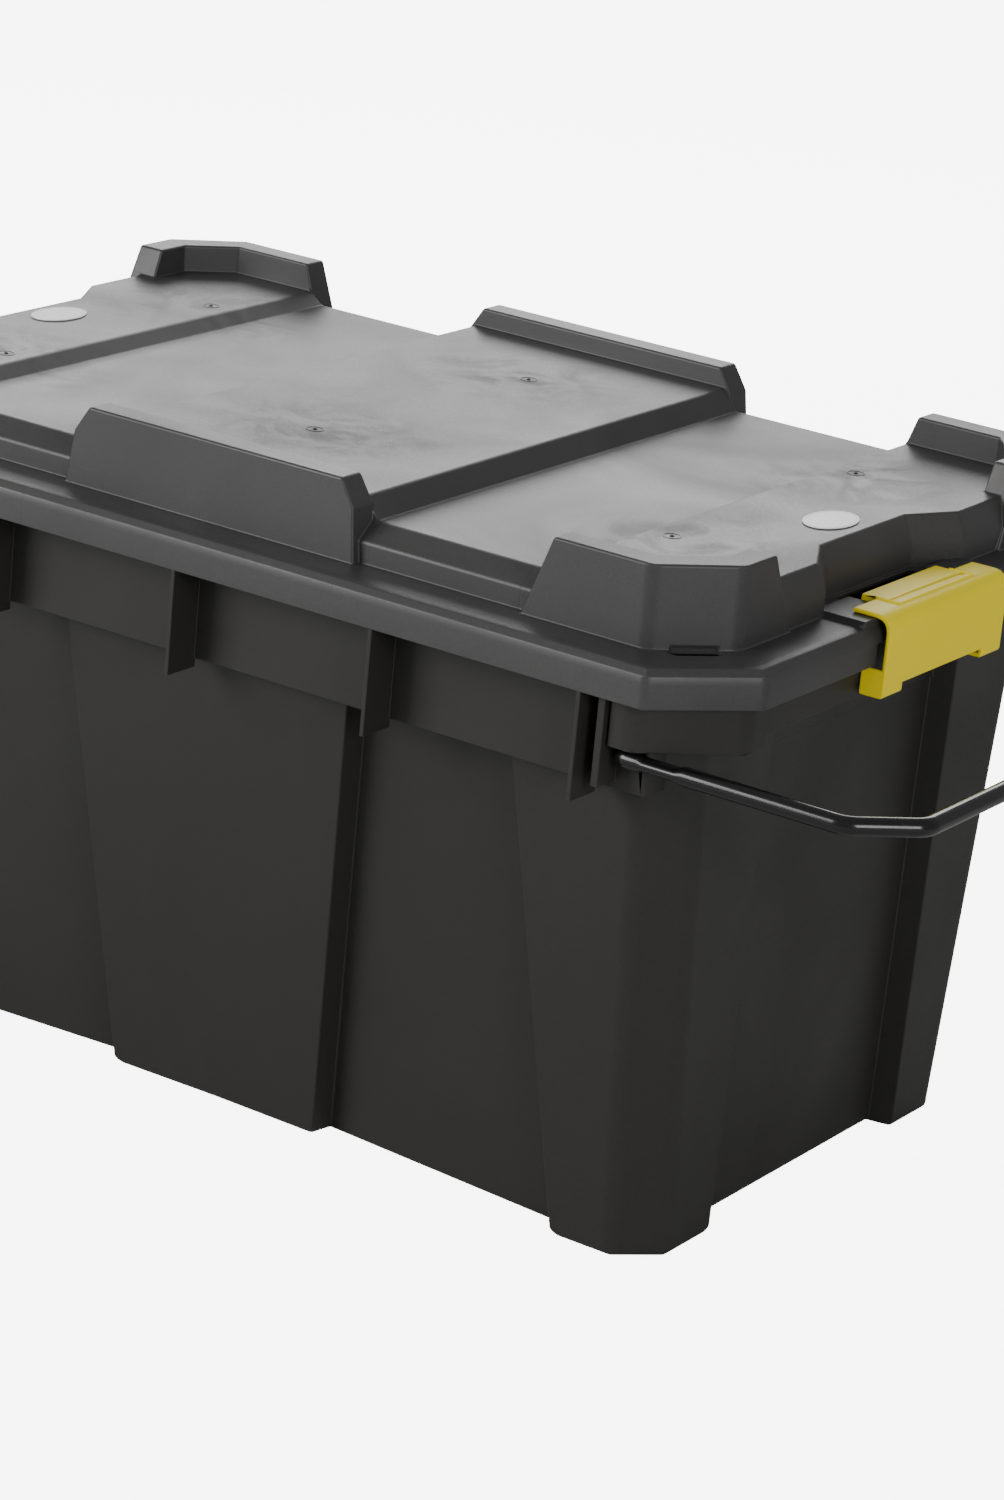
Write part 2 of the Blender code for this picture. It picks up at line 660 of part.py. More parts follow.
def clip_profile():
    """The clip's section (x, z) for the +X end: a top plate that turns down into an outer plate."""
    top = FLANGE_Z + PAD_RISE + CLEARANCE + CLIP_THICK
    outer = HALF_X + CLIP_REACH
    bottom = FLANGE_Z - CLIP_DROP
    inner_top = HINGE_X + CLIP_INNER_GAP
    radius = CLIP_BEND
    centre = (outer - radius, top - radius)
    angles = [math.pi / 2 * step / 4 for step in range(5)]
    outside = [(centre[0] + radius * math.cos(a), centre[1] + radius * math.sin(a)) for a in angles]
    small = radius - CLIP_THICK
    inside = [(centre[0] + small * math.cos(a), centre[1] + small * math.sin(a)) for a in angles[::-1]]
    return (
        [(outer, bottom)] + outside + [(inner_top, top), (inner_top, top - CLIP_THICK)]
        + inside + [(outer - CLIP_THICK, bottom)]
    )


def build_clip(side, sign_x, parts, plastic):
    """A clip: outer plate, raised hinge tab with its knuckle, and a hook at each lower corner."""
    added = new_helpers(f"clip_{side}_added")
    removed = new_helpers(f"clip_{side}_removed")

    def mirrored(profile):
        return [(sign_x * x, z) for x, z in profile]

    clip = slab_y(f"clip_{side}", mirrored(clip_profile()), -CLIP_HALF, CLIP_HALF, parts, plastic)
    top = FLANGE_Z + PAD_RISE + CLEARANCE + CLIP_THICK
    tab = [
        (HINGE_X - KNUCKLE_RADIUS + TAB_TAPER, HINGE_Z),
        (HINGE_X - KNUCKLE_RADIUS + JOIN, top + TAB_RISE),
        (HINGE_X + TAB_LENGTH, top + TAB_RISE),
        (HINGE_X + TAB_LENGTH, top - CLIP_THICK + TAB_TAPER),
        (HINGE_X + KNUCKLE_RADIUS, top - CLIP_THICK + TAB_TAPER),
        (HINGE_X + KNUCKLE_RADIUS - TAB_TAPER, HINGE_Z),
    ]
    slab_y(f"tab_{side}", mirrored(tab), -TAB_HALF, TAB_HALF, added)
    rod_y(f"knuckle_{side}", (sign_x * HINGE_X, HINGE_Z), KNUCKLE_RADIUS, -TAB_HALF, TAB_HALF, added)
    rod_y(
        f"knuckle_bore_{side}", (sign_x * HINGE_X, HINGE_Z), PIN_RADIUS + CLEARANCE,
        -TAB_HALF - JOIN, TAB_HALF + JOIN, removed,
    )
    outer = HALF_X + CLIP_REACH
    inner = HALF_X - HOOK_INNER
    hook_z = FLANGE_Z - HOOK_DROP
    seam = FLANGE_Z - CLIP_DROP
    foot = [
        (outer, seam + JOIN), (outer, hook_z + HOOK_ROUND), (outer - HOOK_ROUND, hook_z), (inner, hook_z),
        (inner, hook_z + CLIP_THICK), (outer - CLIP_THICK, hook_z + CLIP_THICK),
        (outer - CLIP_THICK, seam + JOIN),
    ]
    cheek = [
        (outer - JOIN, hook_z + JOIN), (inner, hook_z + JOIN),
        (inner, hook_z + CHEEK_HEIGHT - CHEEK_CHAMFER_Z), (inner + CHEEK_CHAMFER_X, hook_z + CHEEK_HEIGHT),
        (outer - JOIN, hook_z + CHEEK_HEIGHT),
    ]
    for sign_y in (1, -1):
        edge = sign_y * CLIP_HALF
        slab_y(f"hook_{side}_{sign_y}", mirrored(foot), edge, edge - sign_y * HOOK_WIDTH, added)
        slab_y(f"cheek_{side}_{sign_y}", mirrored(cheek), edge, edge - sign_y * CLIP_THICK, added)
    combine(clip, "UNION", added)
    combine(clip, "DIFFERENCE", removed)
    return clip


def bent_path(corners, bend, steps=5):
    """A polyline whose corners are rounded to one bend radius."""
    path = [Vector(corners[0])]
    for before, here, after in zip(corners, corners[1:], corners[2:]):
        before, here, after = Vector(before), Vector(here), Vector(after)
        to_before, to_after = (before - here).normalized(), (after - here).normalized()
        half_turn = to_before.angle(to_after) / 2
        reach = bend / math.tan(half_turn)
        centre = here + (to_before + to_after).normalized() * bend / math.sin(half_turn)
        start, end = here + to_before * reach, here + to_after * reach
        axis = (start - centre).cross(end - centre)
        sweep = (start - centre).angle(end - centre)
        for step in range(steps + 1):
            path.append(centre + Matrix.Rotation(sweep * step / steps, 3, axis) @ (start - centre))
    path.append(Vector(corners[-1]))
    return path


def build_handle(side, sign_x, parts, steel):
    """A bail handle bent from one round bar, its two ends turned in through the tub's collar."""
    end_y = COLLAR_Y - TUB_WALL - PIN_PAST_WALL
    bar_x = HALF_X + HANDLE_REACH
    half = [
        (PIVOT_X, end_y), (PIVOT_X, ARM_Y), (bar_x - HANDLE_CHAMFER, ARM_Y),
        (bar_x, ARM_Y - HANDLE_CHAMFER),
    ]
    corners = [(x, -y, 0) for x, y in half] + [(x, y, 0) for x, y in half[::-1]]
    path = bent_path(corners[:3], PIN_BEND, 4)[:-1]
    path += bent_path(corners[1:-1], HANDLE_BEND)[1:-1]
    path += bent_path(corners[-3:], PIN_BEND, 4)[1:]
    data = bpy.data.curves.new(f"handle_{side}", "CURVE")
    data.dimensions = "3D"
    data.bevel_depth = HANDLE_RADIUS
    data.bevel_resolution = 2
    data.use_fill_caps = True
    spline = data.splines.new("POLY")
    spline.points.add(len(path) - 1)
    for point, place in zip(spline.points, path):
        point.co = (sign_x * (place.x - PIVOT_X), place.y, place.z, 1)
    data.materials.append(steel)
    handle = bpy.data.objects.new(f"handle_{side}", data)
    handle.location = (sign_x * PIVOT_X, 0, PIVOT_Z)
    parts.objects.link(handle)
    return handle


def build_bush(name, sign_x, sign_y, parts, plastic):
    """A flanged sleeve pressed into the collar wall from inside, which carries a handle's end."""
    removed = new_helpers(f"{name}_removed")
    added = new_helpers(f"{name}_added")
    centre = (sign_x * PIVOT_X, PIVOT_Z)
    bore = HANDLE_RADIUS + 2 * CLEARANCE
    inside = COLLAR_Y - TUB_WALL - CLEARANCE
    bush = rod_y(
        name, centre, bore + BUSH_WALL, sign_y * (inside - BUSH_FLANGE), sign_y * (COLLAR_Y + BUSH_PROUD),
        parts, plastic,
    )
    rod_y(
        f"{name}_flange", centre, bore + BUSH_WALL + BUSH_FLANGE,
        sign_y * (inside - BUSH_FLANGE), sign_y * inside, added,
    )
    rod_y(f"{name}_bore", centre, bore, sign_y * (inside - PAST), sign_y * (COLLAR_Y + PAST), removed)
    combine(bush, "UNION", added)
    combine(bush, "DIFFERENCE", removed)
    return bush


def tray_half_y(z):
    """Half the tray's outer width at one height, clear of the tub's narrowest wall."""
    half_y, bow = wall_halves(z)[1:]
    return half_y - bow - RELIEF_DEPTH - TUB_WALL - TRAY_SIDE_GAP


def build_tray(parts, plastic):
    """A lift-out tray that hangs by its flanges on the tub's two shoulders."""
    added = new_helpers("tray_added")
    removed = new_helpers("tray_removed")
    rest_z = LEDGE_REST_Z + CLEARANCE
    floor_z = rest_z - TRAY_DEPTH
    rim_z = rest_z + TRAY_RIM_RISE
    half_x = TRAY_LENGTH / 2
    foot_y = tray_half_y(floor_z)
    top_y = foot_y + TRAY_DRAFT
    levels = [
        (floor_z, rectangle(half_x - TRAY_DRAFT, foot_y)),
        (rim_z, rectangle(half_x, top_y)),
    ]
    tray = stack("tray", levels, parts, plastic)
    flange_y = COLLAR_Y - TUB_WALL - TRAY_FLANGE_GAP
    flange = rectangle(half_x + TRAY_LIP, flange_y)
    stack("tray_flange", [(rest_z, flange), (rest_z + TRAY_WALL, flange)], added)
    lip = rectangle(half_x + TRAY_LIP, top_y + TRAY_LIP)
    stack("tray_lip", [(rim_z - TRAY_WALL, lip), (rim_z, lip)], added)
    inner = [
        (floor_z + TRAY_WALL, offset(levels[0][1], TRAY_WALL)),
        (rim_z + JOIN, offset(levels[1][1], TRAY_WALL)),
    ]
    stack("tray_cavity", inner, removed)
    combine(tray, "UNION", added)
    combine(tray, "DIFFERENCE", removed)
    inside = new_helpers("tray_inside")
    spine = [
        (-half_x + JOIN, floor_z + JOIN), (half_x - JOIN, floor_z + JOIN),
        (half_x - JOIN, rim_z), (SPINE_HALF + SPINE_SHOULDER, rim_z),
        (SPINE_HALF, rim_z + SPINE_RISE), (-SPINE_HALF, rim_z + SPINE_RISE),
        (-SPINE_HALF - SPINE_SHOULDER, rim_z), (-half_x + JOIN, rim_z),
    ]
    spine = [(x * (1 - TRAY_DRAFT / half_x) if z < rim_z else x, z) for x, z in spine]
    slab_y("spine", spine, -SPINE_THICK / 2, SPINE_THICK / 2, inside)
    grip_top = rim_z + SPINE_RISE
    box(
        "grip_bar", (-GRIP_HALF - GRIP_PAST, -GRIP_BAR / 2 - TRAY_LIP, grip_top - GRIP_BAR),
        (GRIP_HALF + GRIP_PAST, GRIP_BAR / 2 + TRAY_LIP, grip_top), inside,
    )
    for sign_x in (1, -1):
        for side in (1, -1):
            x = sign_x * DIVIDER_X + side * (DIVIDER_THICK / 2 + CLEARANCE + GUIDE_THICK / 2)
            for near_y, far_y in (
                (SPINE_THICK / 2 - JOIN, SPINE_THICK / 2 + GUIDE_DEPTH),
                (foot_y - TRAY_WALL - GUIDE_DEPTH, foot_y - TRAY_WALL / 2),
            ):
                box(
                    f"guide_{sign_x}_{side}_{near_y:.3f}",
                    (x - GUIDE_THICK / 2, near_y, floor_z + JOIN),
                    (x + GUIDE_THICK / 2, far_y, rest_z - DIVIDER_DROP), inside,
                )
    combine(tray, "UNION", inside)
    hand_hole = new_helpers("tray_hand_hole")
    box(
        "hand_hole", (-GRIP_HALF, -5 * PAST, grip_top - GRIP_BAR - GRIP_HEIGHT),
        (GRIP_HALF, 5 * PAST, grip_top - GRIP_BAR), hand_hole,
    )
    combine(tray, "DIFFERENCE", hand_hole)
    return floor_z, foot_y, rest_z


def build_divider(name, sign_x, tray_sizes, parts, plastic):
    """A plate that drops between the guides of the tray's back half."""
    floor_z, foot_y, rest_z = tray_sizes
    x = sign_x * DIVIDER_X
    return box(
        name,
        (x - DIVIDER_THICK / 2, SPINE_THICK / 2 + CLEARANCE, floor_z + TRAY_WALL + CLEARANCE),
        (x + DIVIDER_THICK / 2, foot_y - TRAY_WALL - CLEARANCE, rest_z - DIVIDER_DROP), parts, plastic,
    )


def build_label(side, sign_x, parts, white):
    """A thin blank oval plate on an end platform."""
    centre_x = sign_x * (HALF_X - LABEL_INSET)
    steps = 40
    outline = [
        (centre_x + LABEL_HALF_X * math.cos(turn), LABEL_HALF_Y * math.sin(turn))
        for turn in (math.tau * i / steps for i in range(steps))
    ]
    base = END_PLATFORM_Z + CLEARANCE
    return stack(f"label_{side}", [(base, outline), (base + LABEL_THICK, outline)], parts, white)


def main():
    """Build every piece of the trunk."""
    clear_scene()
    parts = new_collection("tool_trunk_with_tray")
    body_black = material("body_black", (0.035, 0.033, 0.032), 0.45)
    lid_grey = material("lid_grey", (0.075, 0.072, 0.070), 0.42)
    clip_yellow = material("clip_yellow", (0.75, 0.62, 0.01), 0.35)
    bar_black = material("bar_black", (0.02, 0.02, 0.02), 0.25, 0.6)
    pin_steel = material("pin_steel", (0.45, 0.45, 0.46), 0.35, 1.0)
    bush_black = material("bush_black", (0.03, 0.03, 0.03), 0.5)
    tray_grey = material("tray_grey", (0.12, 0.12, 0.12), 0.5)
    label_white = material("label_white", (0.8, 0.8, 0.8), 0.4)

    build_tub(parts, body_black)
    build_lid(parts, lid_grey)
    for side, sign_x in (("right", 1), ("left", -1)):
        build_clip(side, sign_x, parts, clip_yellow)
        reach = TAB_HALF + PIN_END
        rod_y(
            f"clip_pin_{side}", (sign_x * HINGE_X, HINGE_Z), PIN_RADIUS, -reach, reach,
            parts, pin_steel, 16,
        )
        build_handle(side, sign_x, parts, bar_black)
        for end, sign_y in (("front", -1), ("back", 1)):
            build_bush(f"handle_bush_{side}_{end}", sign_x, sign_y, parts, bush_black)
        build_label(side, sign_x, parts, label_white)
    tray_sizes = build_tray(parts, tray_grey)
    for side, sign_x in (("right", 1), ("left", -1)):
        build_divider(f"tray_divider_{side}", sign_x, tray_sizes, parts, tray_grey)


main()
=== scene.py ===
"""Looks of a large tool trunk: moulded tub and lid, yellow end clips, bail handles and a lift-out tray."""

from __future__ import annotations

import json
import logging
import math
from collections.abc import Callable, Iterator
from contextlib import contextmanager
from dataclasses import dataclass
from enum import Enum

import bmesh
import bpy
import numpy as np
from mathutils import Matrix, Vector
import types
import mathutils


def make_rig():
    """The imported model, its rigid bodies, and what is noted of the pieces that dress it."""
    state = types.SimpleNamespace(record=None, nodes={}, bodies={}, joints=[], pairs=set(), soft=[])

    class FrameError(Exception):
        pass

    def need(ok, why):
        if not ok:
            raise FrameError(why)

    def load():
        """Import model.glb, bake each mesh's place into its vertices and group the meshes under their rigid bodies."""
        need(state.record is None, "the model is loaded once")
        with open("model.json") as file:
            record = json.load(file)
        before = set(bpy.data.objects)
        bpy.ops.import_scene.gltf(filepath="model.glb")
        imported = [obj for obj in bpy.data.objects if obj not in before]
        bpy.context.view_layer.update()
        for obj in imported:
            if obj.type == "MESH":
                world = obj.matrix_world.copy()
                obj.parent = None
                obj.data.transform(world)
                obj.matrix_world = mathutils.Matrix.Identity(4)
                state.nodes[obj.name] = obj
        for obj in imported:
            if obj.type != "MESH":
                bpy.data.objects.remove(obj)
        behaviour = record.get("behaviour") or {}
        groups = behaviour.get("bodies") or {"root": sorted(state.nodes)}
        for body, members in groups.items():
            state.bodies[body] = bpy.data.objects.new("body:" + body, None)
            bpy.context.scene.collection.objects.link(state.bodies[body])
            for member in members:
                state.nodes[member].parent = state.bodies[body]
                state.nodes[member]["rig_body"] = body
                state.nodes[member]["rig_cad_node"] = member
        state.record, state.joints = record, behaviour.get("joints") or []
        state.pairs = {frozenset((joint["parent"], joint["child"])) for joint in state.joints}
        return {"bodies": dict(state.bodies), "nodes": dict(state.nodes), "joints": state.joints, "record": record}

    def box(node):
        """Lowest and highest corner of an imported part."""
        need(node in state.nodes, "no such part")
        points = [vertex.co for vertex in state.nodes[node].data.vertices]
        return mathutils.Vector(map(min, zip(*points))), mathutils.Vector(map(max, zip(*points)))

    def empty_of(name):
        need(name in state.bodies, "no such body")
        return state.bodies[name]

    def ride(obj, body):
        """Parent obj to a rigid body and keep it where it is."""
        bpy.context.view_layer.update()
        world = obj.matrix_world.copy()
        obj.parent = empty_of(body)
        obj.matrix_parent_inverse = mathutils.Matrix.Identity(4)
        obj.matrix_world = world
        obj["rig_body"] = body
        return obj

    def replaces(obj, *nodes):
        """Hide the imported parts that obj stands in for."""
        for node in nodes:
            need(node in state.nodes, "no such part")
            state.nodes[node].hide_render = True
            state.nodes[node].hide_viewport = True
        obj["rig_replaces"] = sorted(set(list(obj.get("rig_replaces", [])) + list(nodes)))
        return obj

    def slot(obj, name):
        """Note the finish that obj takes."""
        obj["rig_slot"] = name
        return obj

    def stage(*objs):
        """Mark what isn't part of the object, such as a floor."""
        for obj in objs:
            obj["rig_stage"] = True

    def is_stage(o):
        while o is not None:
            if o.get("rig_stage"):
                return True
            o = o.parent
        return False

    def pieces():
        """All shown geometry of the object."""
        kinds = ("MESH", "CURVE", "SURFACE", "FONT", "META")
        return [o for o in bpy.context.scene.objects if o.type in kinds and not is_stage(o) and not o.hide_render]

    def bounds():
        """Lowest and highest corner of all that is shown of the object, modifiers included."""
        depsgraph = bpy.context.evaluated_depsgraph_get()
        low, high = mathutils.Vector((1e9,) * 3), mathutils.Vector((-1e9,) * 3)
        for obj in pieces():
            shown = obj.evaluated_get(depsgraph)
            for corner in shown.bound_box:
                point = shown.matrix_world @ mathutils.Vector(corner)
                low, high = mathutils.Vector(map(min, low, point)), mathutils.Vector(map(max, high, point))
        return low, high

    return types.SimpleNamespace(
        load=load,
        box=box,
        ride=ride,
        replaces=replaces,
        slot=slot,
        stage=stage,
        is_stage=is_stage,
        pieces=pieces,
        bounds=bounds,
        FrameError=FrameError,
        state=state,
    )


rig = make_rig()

LOG = logging.getLogger("trunk")
SIZE_FILE = "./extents.json"
MM = 0.001
SAME_POINT = 0.01 * MM
LEAST_FACE = 0.05 * MM
LEVEL_DEGREES = 0.6
ROUNDED_DEGREES = 24.0
SMOOTH_DEGREES = 38.0
FLAT_FACE_WEIGHT = 90
NOISE_BAND = (0.3, 0.7)
MIX_FACTOR, MIX_FIRST, MIX_SECOND, MIX_RESULT = 0, 6, 7, 2
WHITE = (1.0, 1.0, 1.0, 1.0)

Colour = tuple[float, float, float]
Place = tuple[float, float, float]
Steps = tuple[tuple[float, float], ...]
Feed = float | bpy.types.NodeSocket
EdgeRule = Callable[["EdgeFacts"], float]


class Side(Enum):
    """An end of the trunk; the value is the sign of its X."""

    RIGHT = 1
    LEFT = -1

    @property
    def word(self) -> str:
        """The side's name as the frame's nodes spell it."""
        return self.name.lower()


# ---------------------------------------------------------------- shader node groups


class Sheet:
    """A node tree that is filled in one node at a time."""

    def __init__(self, tree: bpy.types.NodeTree) -> None:
        """Start on a tree.

        Args:
            tree: The material's or group's node tree.
        """
        self.tree = tree

    def add(self, kind: str, inputs: dict | None = None, **settings) -> bpy.types.Node:
        """Add a node.

        Args:
            kind: The node's type name.
            inputs: Input name or number to a value or to another node's output.
            **settings: Properties of the node itself.

        Returns:
            The new node.
        """
        node = self.tree.nodes.new(kind)
        for name, value in settings.items():
            setattr(node, name, value)
        for key, value in (inputs or {}).items():
            if isinstance(value, bpy.types.NodeSocket):
                self.tree.links.new(value, node.inputs[key])
            else:
                node.inputs[key].default_value = value
        return node

    def math(self, operation: str, *values: Feed, clamp: bool = False) -> bpy.types.NodeSocket:
        """Add a math node and return its output.

        Args:
            operation: The operation's name.
            *values: Numbers or outputs, in order.
            clamp: Whether the result is kept between 0 and 1.

        Returns:
            The value output.
        """
        inputs = dict(enumerate(values))
        return self.add("ShaderNodeMath", inputs, operation=operation, use_clamp=clamp).outputs[0]

    def place(self) -> bpy.types.NodeSocket:
        """Add the place on the piece, in metres, and return its output."""
        return self.add("ShaderNodeTexCoord").outputs["Object"]

    def noise(self, inputs: dict) -> bpy.types.NodeSocket:
        """Add a noise texture with these inputs and return its value output."""
        return self.add("ShaderNodeTexNoise", inputs).outputs[0]

    def spread(
        self, value: Feed, low: float, high: float, to_low: float = 0.0, to_high: float = 1.0
    ) -> bpy.types.NodeSocket:
        """Map a value's range to another one, clamped.

        Args:
            value: The number or output to map.
            low: The value that gives to_low.
            high: The value that gives to_high.
            to_low: The result at the low end.
            to_high: The result at the high end.

        Returns:
            The mapped output.
        """
        inputs = {"Value": value, "From Min": low, "From Max": high, "To Min": to_low, "To Max": to_high}
        return self.add("ShaderNodeMapRange", inputs).outputs[0]


def new_group(name: str, inputs: dict[str, float], outputs: tuple[str, ...]) -> tuple[Sheet, bpy.types.Node]:
    """Start a shader node group with float sockets.

    Args:
        name: The group's name.
        inputs: Input names and their default values.
        outputs: Output names.

    Returns:
        The sheet to fill and the group's input node.
    """
    tree = bpy.data.node_groups.new(name, "ShaderNodeTree")
    for label, value in inputs.items():
        socket = tree.interface.new_socket(label, in_out="INPUT", socket_type="NodeSocketFloat")
        socket.default_value = value
    for label in outputs:
        tree.interface.new_socket(label, in_out="OUTPUT", socket_type="NodeSocketFloat")
    return Sheet(tree), tree.nodes.new("NodeGroupInput")


@dataclass
class Effects:
    """The surface effects that the finishes share, each a node group built once.

    A band is the stretch of a noise texture's range over which a mask opens. Each hairline is a direction,
    in radians, and how many times longer than wide its scuffs are.
    """

    HAIRLINES = ((0.5, 26.0), (-0.9, 19.0))
    HAIRLINE_BAND = (0.69, 0.74)
    PATCH_BAND = (0.48, 0.62)
    SMOKE_BAND = (0.42, 0.66)
    FADE_BAND = (0.35, 0.6)
    FAINTEST = 0.2

    def __post_init__(self) -> None:
        """Build the groups."""
        self.skin = self.moulded_skin()
        self.scuffs = self.fine_scuffs()
        self.halo = self.gate_halo()
        self.lines = self.witness_lines()

    def moulded_skin(self) -> bpy.types.NodeTree:
        """Fine speckle of a moulded plastic skin, and soft cloudy drifts that vary its gloss and carry a painted
        sheen.
        """
        sheet, given = new_group(
            "moulded_skin", {"Speckle Scale": 700.0, "Drift Scale": 6.0}, ("Speckle", "Drift")
        )
        place = sheet.place()
        fine = {"Vector": place, "Scale": given.outputs["Speckle Scale"], "Detail": 3.0, "Roughness": 0.65}
        speckle = sheet.noise(fine)
        soft = {"Vector": place, "Scale": given.outputs["Drift Scale"], "Detail": 4.0, "Distortion": 1.1}
        drift = sheet.noise(soft)
        sheet.add("NodeGroupOutput", {"Speckle": speckle, "Drift": sheet.spread(drift, *NOISE_BAND)})
        return sheet.tree

    def fine_scuffs(self) -> bpy.types.NodeTree:
        """Short hairline scuffs in two directions, broken up into patches."""
        sheet, given = new_group("fine_scuffs", {"Scale": 30.0, "Amount": 0.5}, ("Mask",))
        place = sheet.place()
        masks = []
        for turn, stretch in self.HAIRLINES:
            inputs = {"Vector": place, "Rotation": (0.0, 0.0, turn), "Scale": (1.0, stretch, stretch)}
            mapped = sheet.add("ShaderNodeMapping", inputs).outputs[0]
            noise = {"Vector": mapped, "Scale": given.outputs["Scale"], "Detail": 1.0}
            masks.append(sheet.spread(sheet.noise(noise), *self.HAIRLINE_BAND))
        patch_in = {"Vector": place, "Scale": 9.0, "Detail": 2.0}
        patch = sheet.spread(sheet.noise(patch_in), *self.PATCH_BAND)
        both = sheet.math("MAXIMUM", *masks)
        mask = sheet.math("MULTIPLY", sheet.math("MULTIPLY", both, patch), given.outputs["Amount"])
        sheet.add("NodeGroupOutput", {"Mask": mask})
        return sheet.tree

    def gate_halo(self) -> bpy.types.NodeTree:
        """Smoky rings around a point, where the melt entered the mould; mirrored in X and Y."""
        sheet, given = new_group("gate_halo", {"X": 0.268, "Y": 0.1125, "Reach": 0.09}, ("Mask",))
        place = sheet.place()
        apart = sheet.add("ShaderNodeSeparateXYZ", {0: place}).outputs
        from_x = sheet.math("SUBTRACT", sheet.math("ABSOLUTE", apart[0]), given.outputs["X"])
        from_y = sheet.math("SUBTRACT", sheet.math("ABSOLUTE", apart[1]), given.outputs["Y"])
        squares = sheet.math("ADD", sheet.math("POWER", from_x, 2.0), sheet.math("POWER", from_y, 2.0))
        away = sheet.math("DIVIDE", sheet.math("SQRT", squares), given.outputs["Reach"])
        near = sheet.math("SUBTRACT", 1.0, away, clamp=True)
        smoke_in = {"Vector": place, "Scale": 17.0, "Detail": 5.0, "Distortion": 2.6}
        smoke = sheet.spread(sheet.noise(smoke_in), *self.SMOKE_BAND)
        sheet.add("NodeGroupOutput", {"Mask": sheet.math("MULTIPLY", near, smoke)})
        return sheet.tree

    def witness_lines(self) -> bpy.types.NodeTree:
        """One thin straight line across X, on both halves, that fades in and out along its length."""
        sheet, given = new_group("witness_line", {"X": 0.12, "Half Width": 0.0008}, ("Mask",))
        place = sheet.place()
        apart = sheet.add("ShaderNodeSeparateXYZ", {0: place}).outputs
        from_x = sheet.math("SUBTRACT", sheet.math("ABSOLUTE", apart[0]), given.outputs["X"])
        share = sheet.math("DIVIDE", sheet.math("ABSOLUTE", from_x), given.outputs["Half Width"])
        line = sheet.math("SUBTRACT", 1.0, share, clamp=True)
        fade_in = {"Vector": place, "Scale": 7.0, "Detail": 1.0}
        fade = sheet.spread(sheet.noise(fade_in), *self.FADE_BAND, self.FAINTEST)
        sheet.add("NodeGroupOutput", {"Mask": sheet.math("MULTIPLY", line, fade)})
        return sheet.tree


# ---------------------------------------------------------------- finishes


def start_material(name: str) -> tuple[Sheet, bpy.types.Node]:
    """Make a material and return its sheet and its Principled node."""
    made = bpy.data.materials.new(name)
    made.use_nodes = True
    return Sheet(made.node_tree), made.node_tree.nodes["Principled BSDF"]


def owner(sheet: Sheet) -> bpy.types.Material:
    """The material whose tree a sheet fills."""
    return next(m for m in bpy.data.materials if m.node_tree == sheet.tree)


def blend_colours(sheet: Sheet, factor: Feed, first: Colour, second: Colour) -> bpy.types.NodeSocket:
    """Mix two colours.

    Args:
        sheet: The sheet to add to.
        factor: The share of the second colour.
        first: The colour at 0.
        second: The colour at 1.

    Returns:
        The colour output.
    """
    inputs = {MIX_FACTOR: factor, MIX_FIRST: (*first, 1.0), MIX_SECOND: (*second, 1.0)}
    return sheet.add("ShaderNodeMix", inputs, data_type="RGBA").outputs[MIX_RESULT]


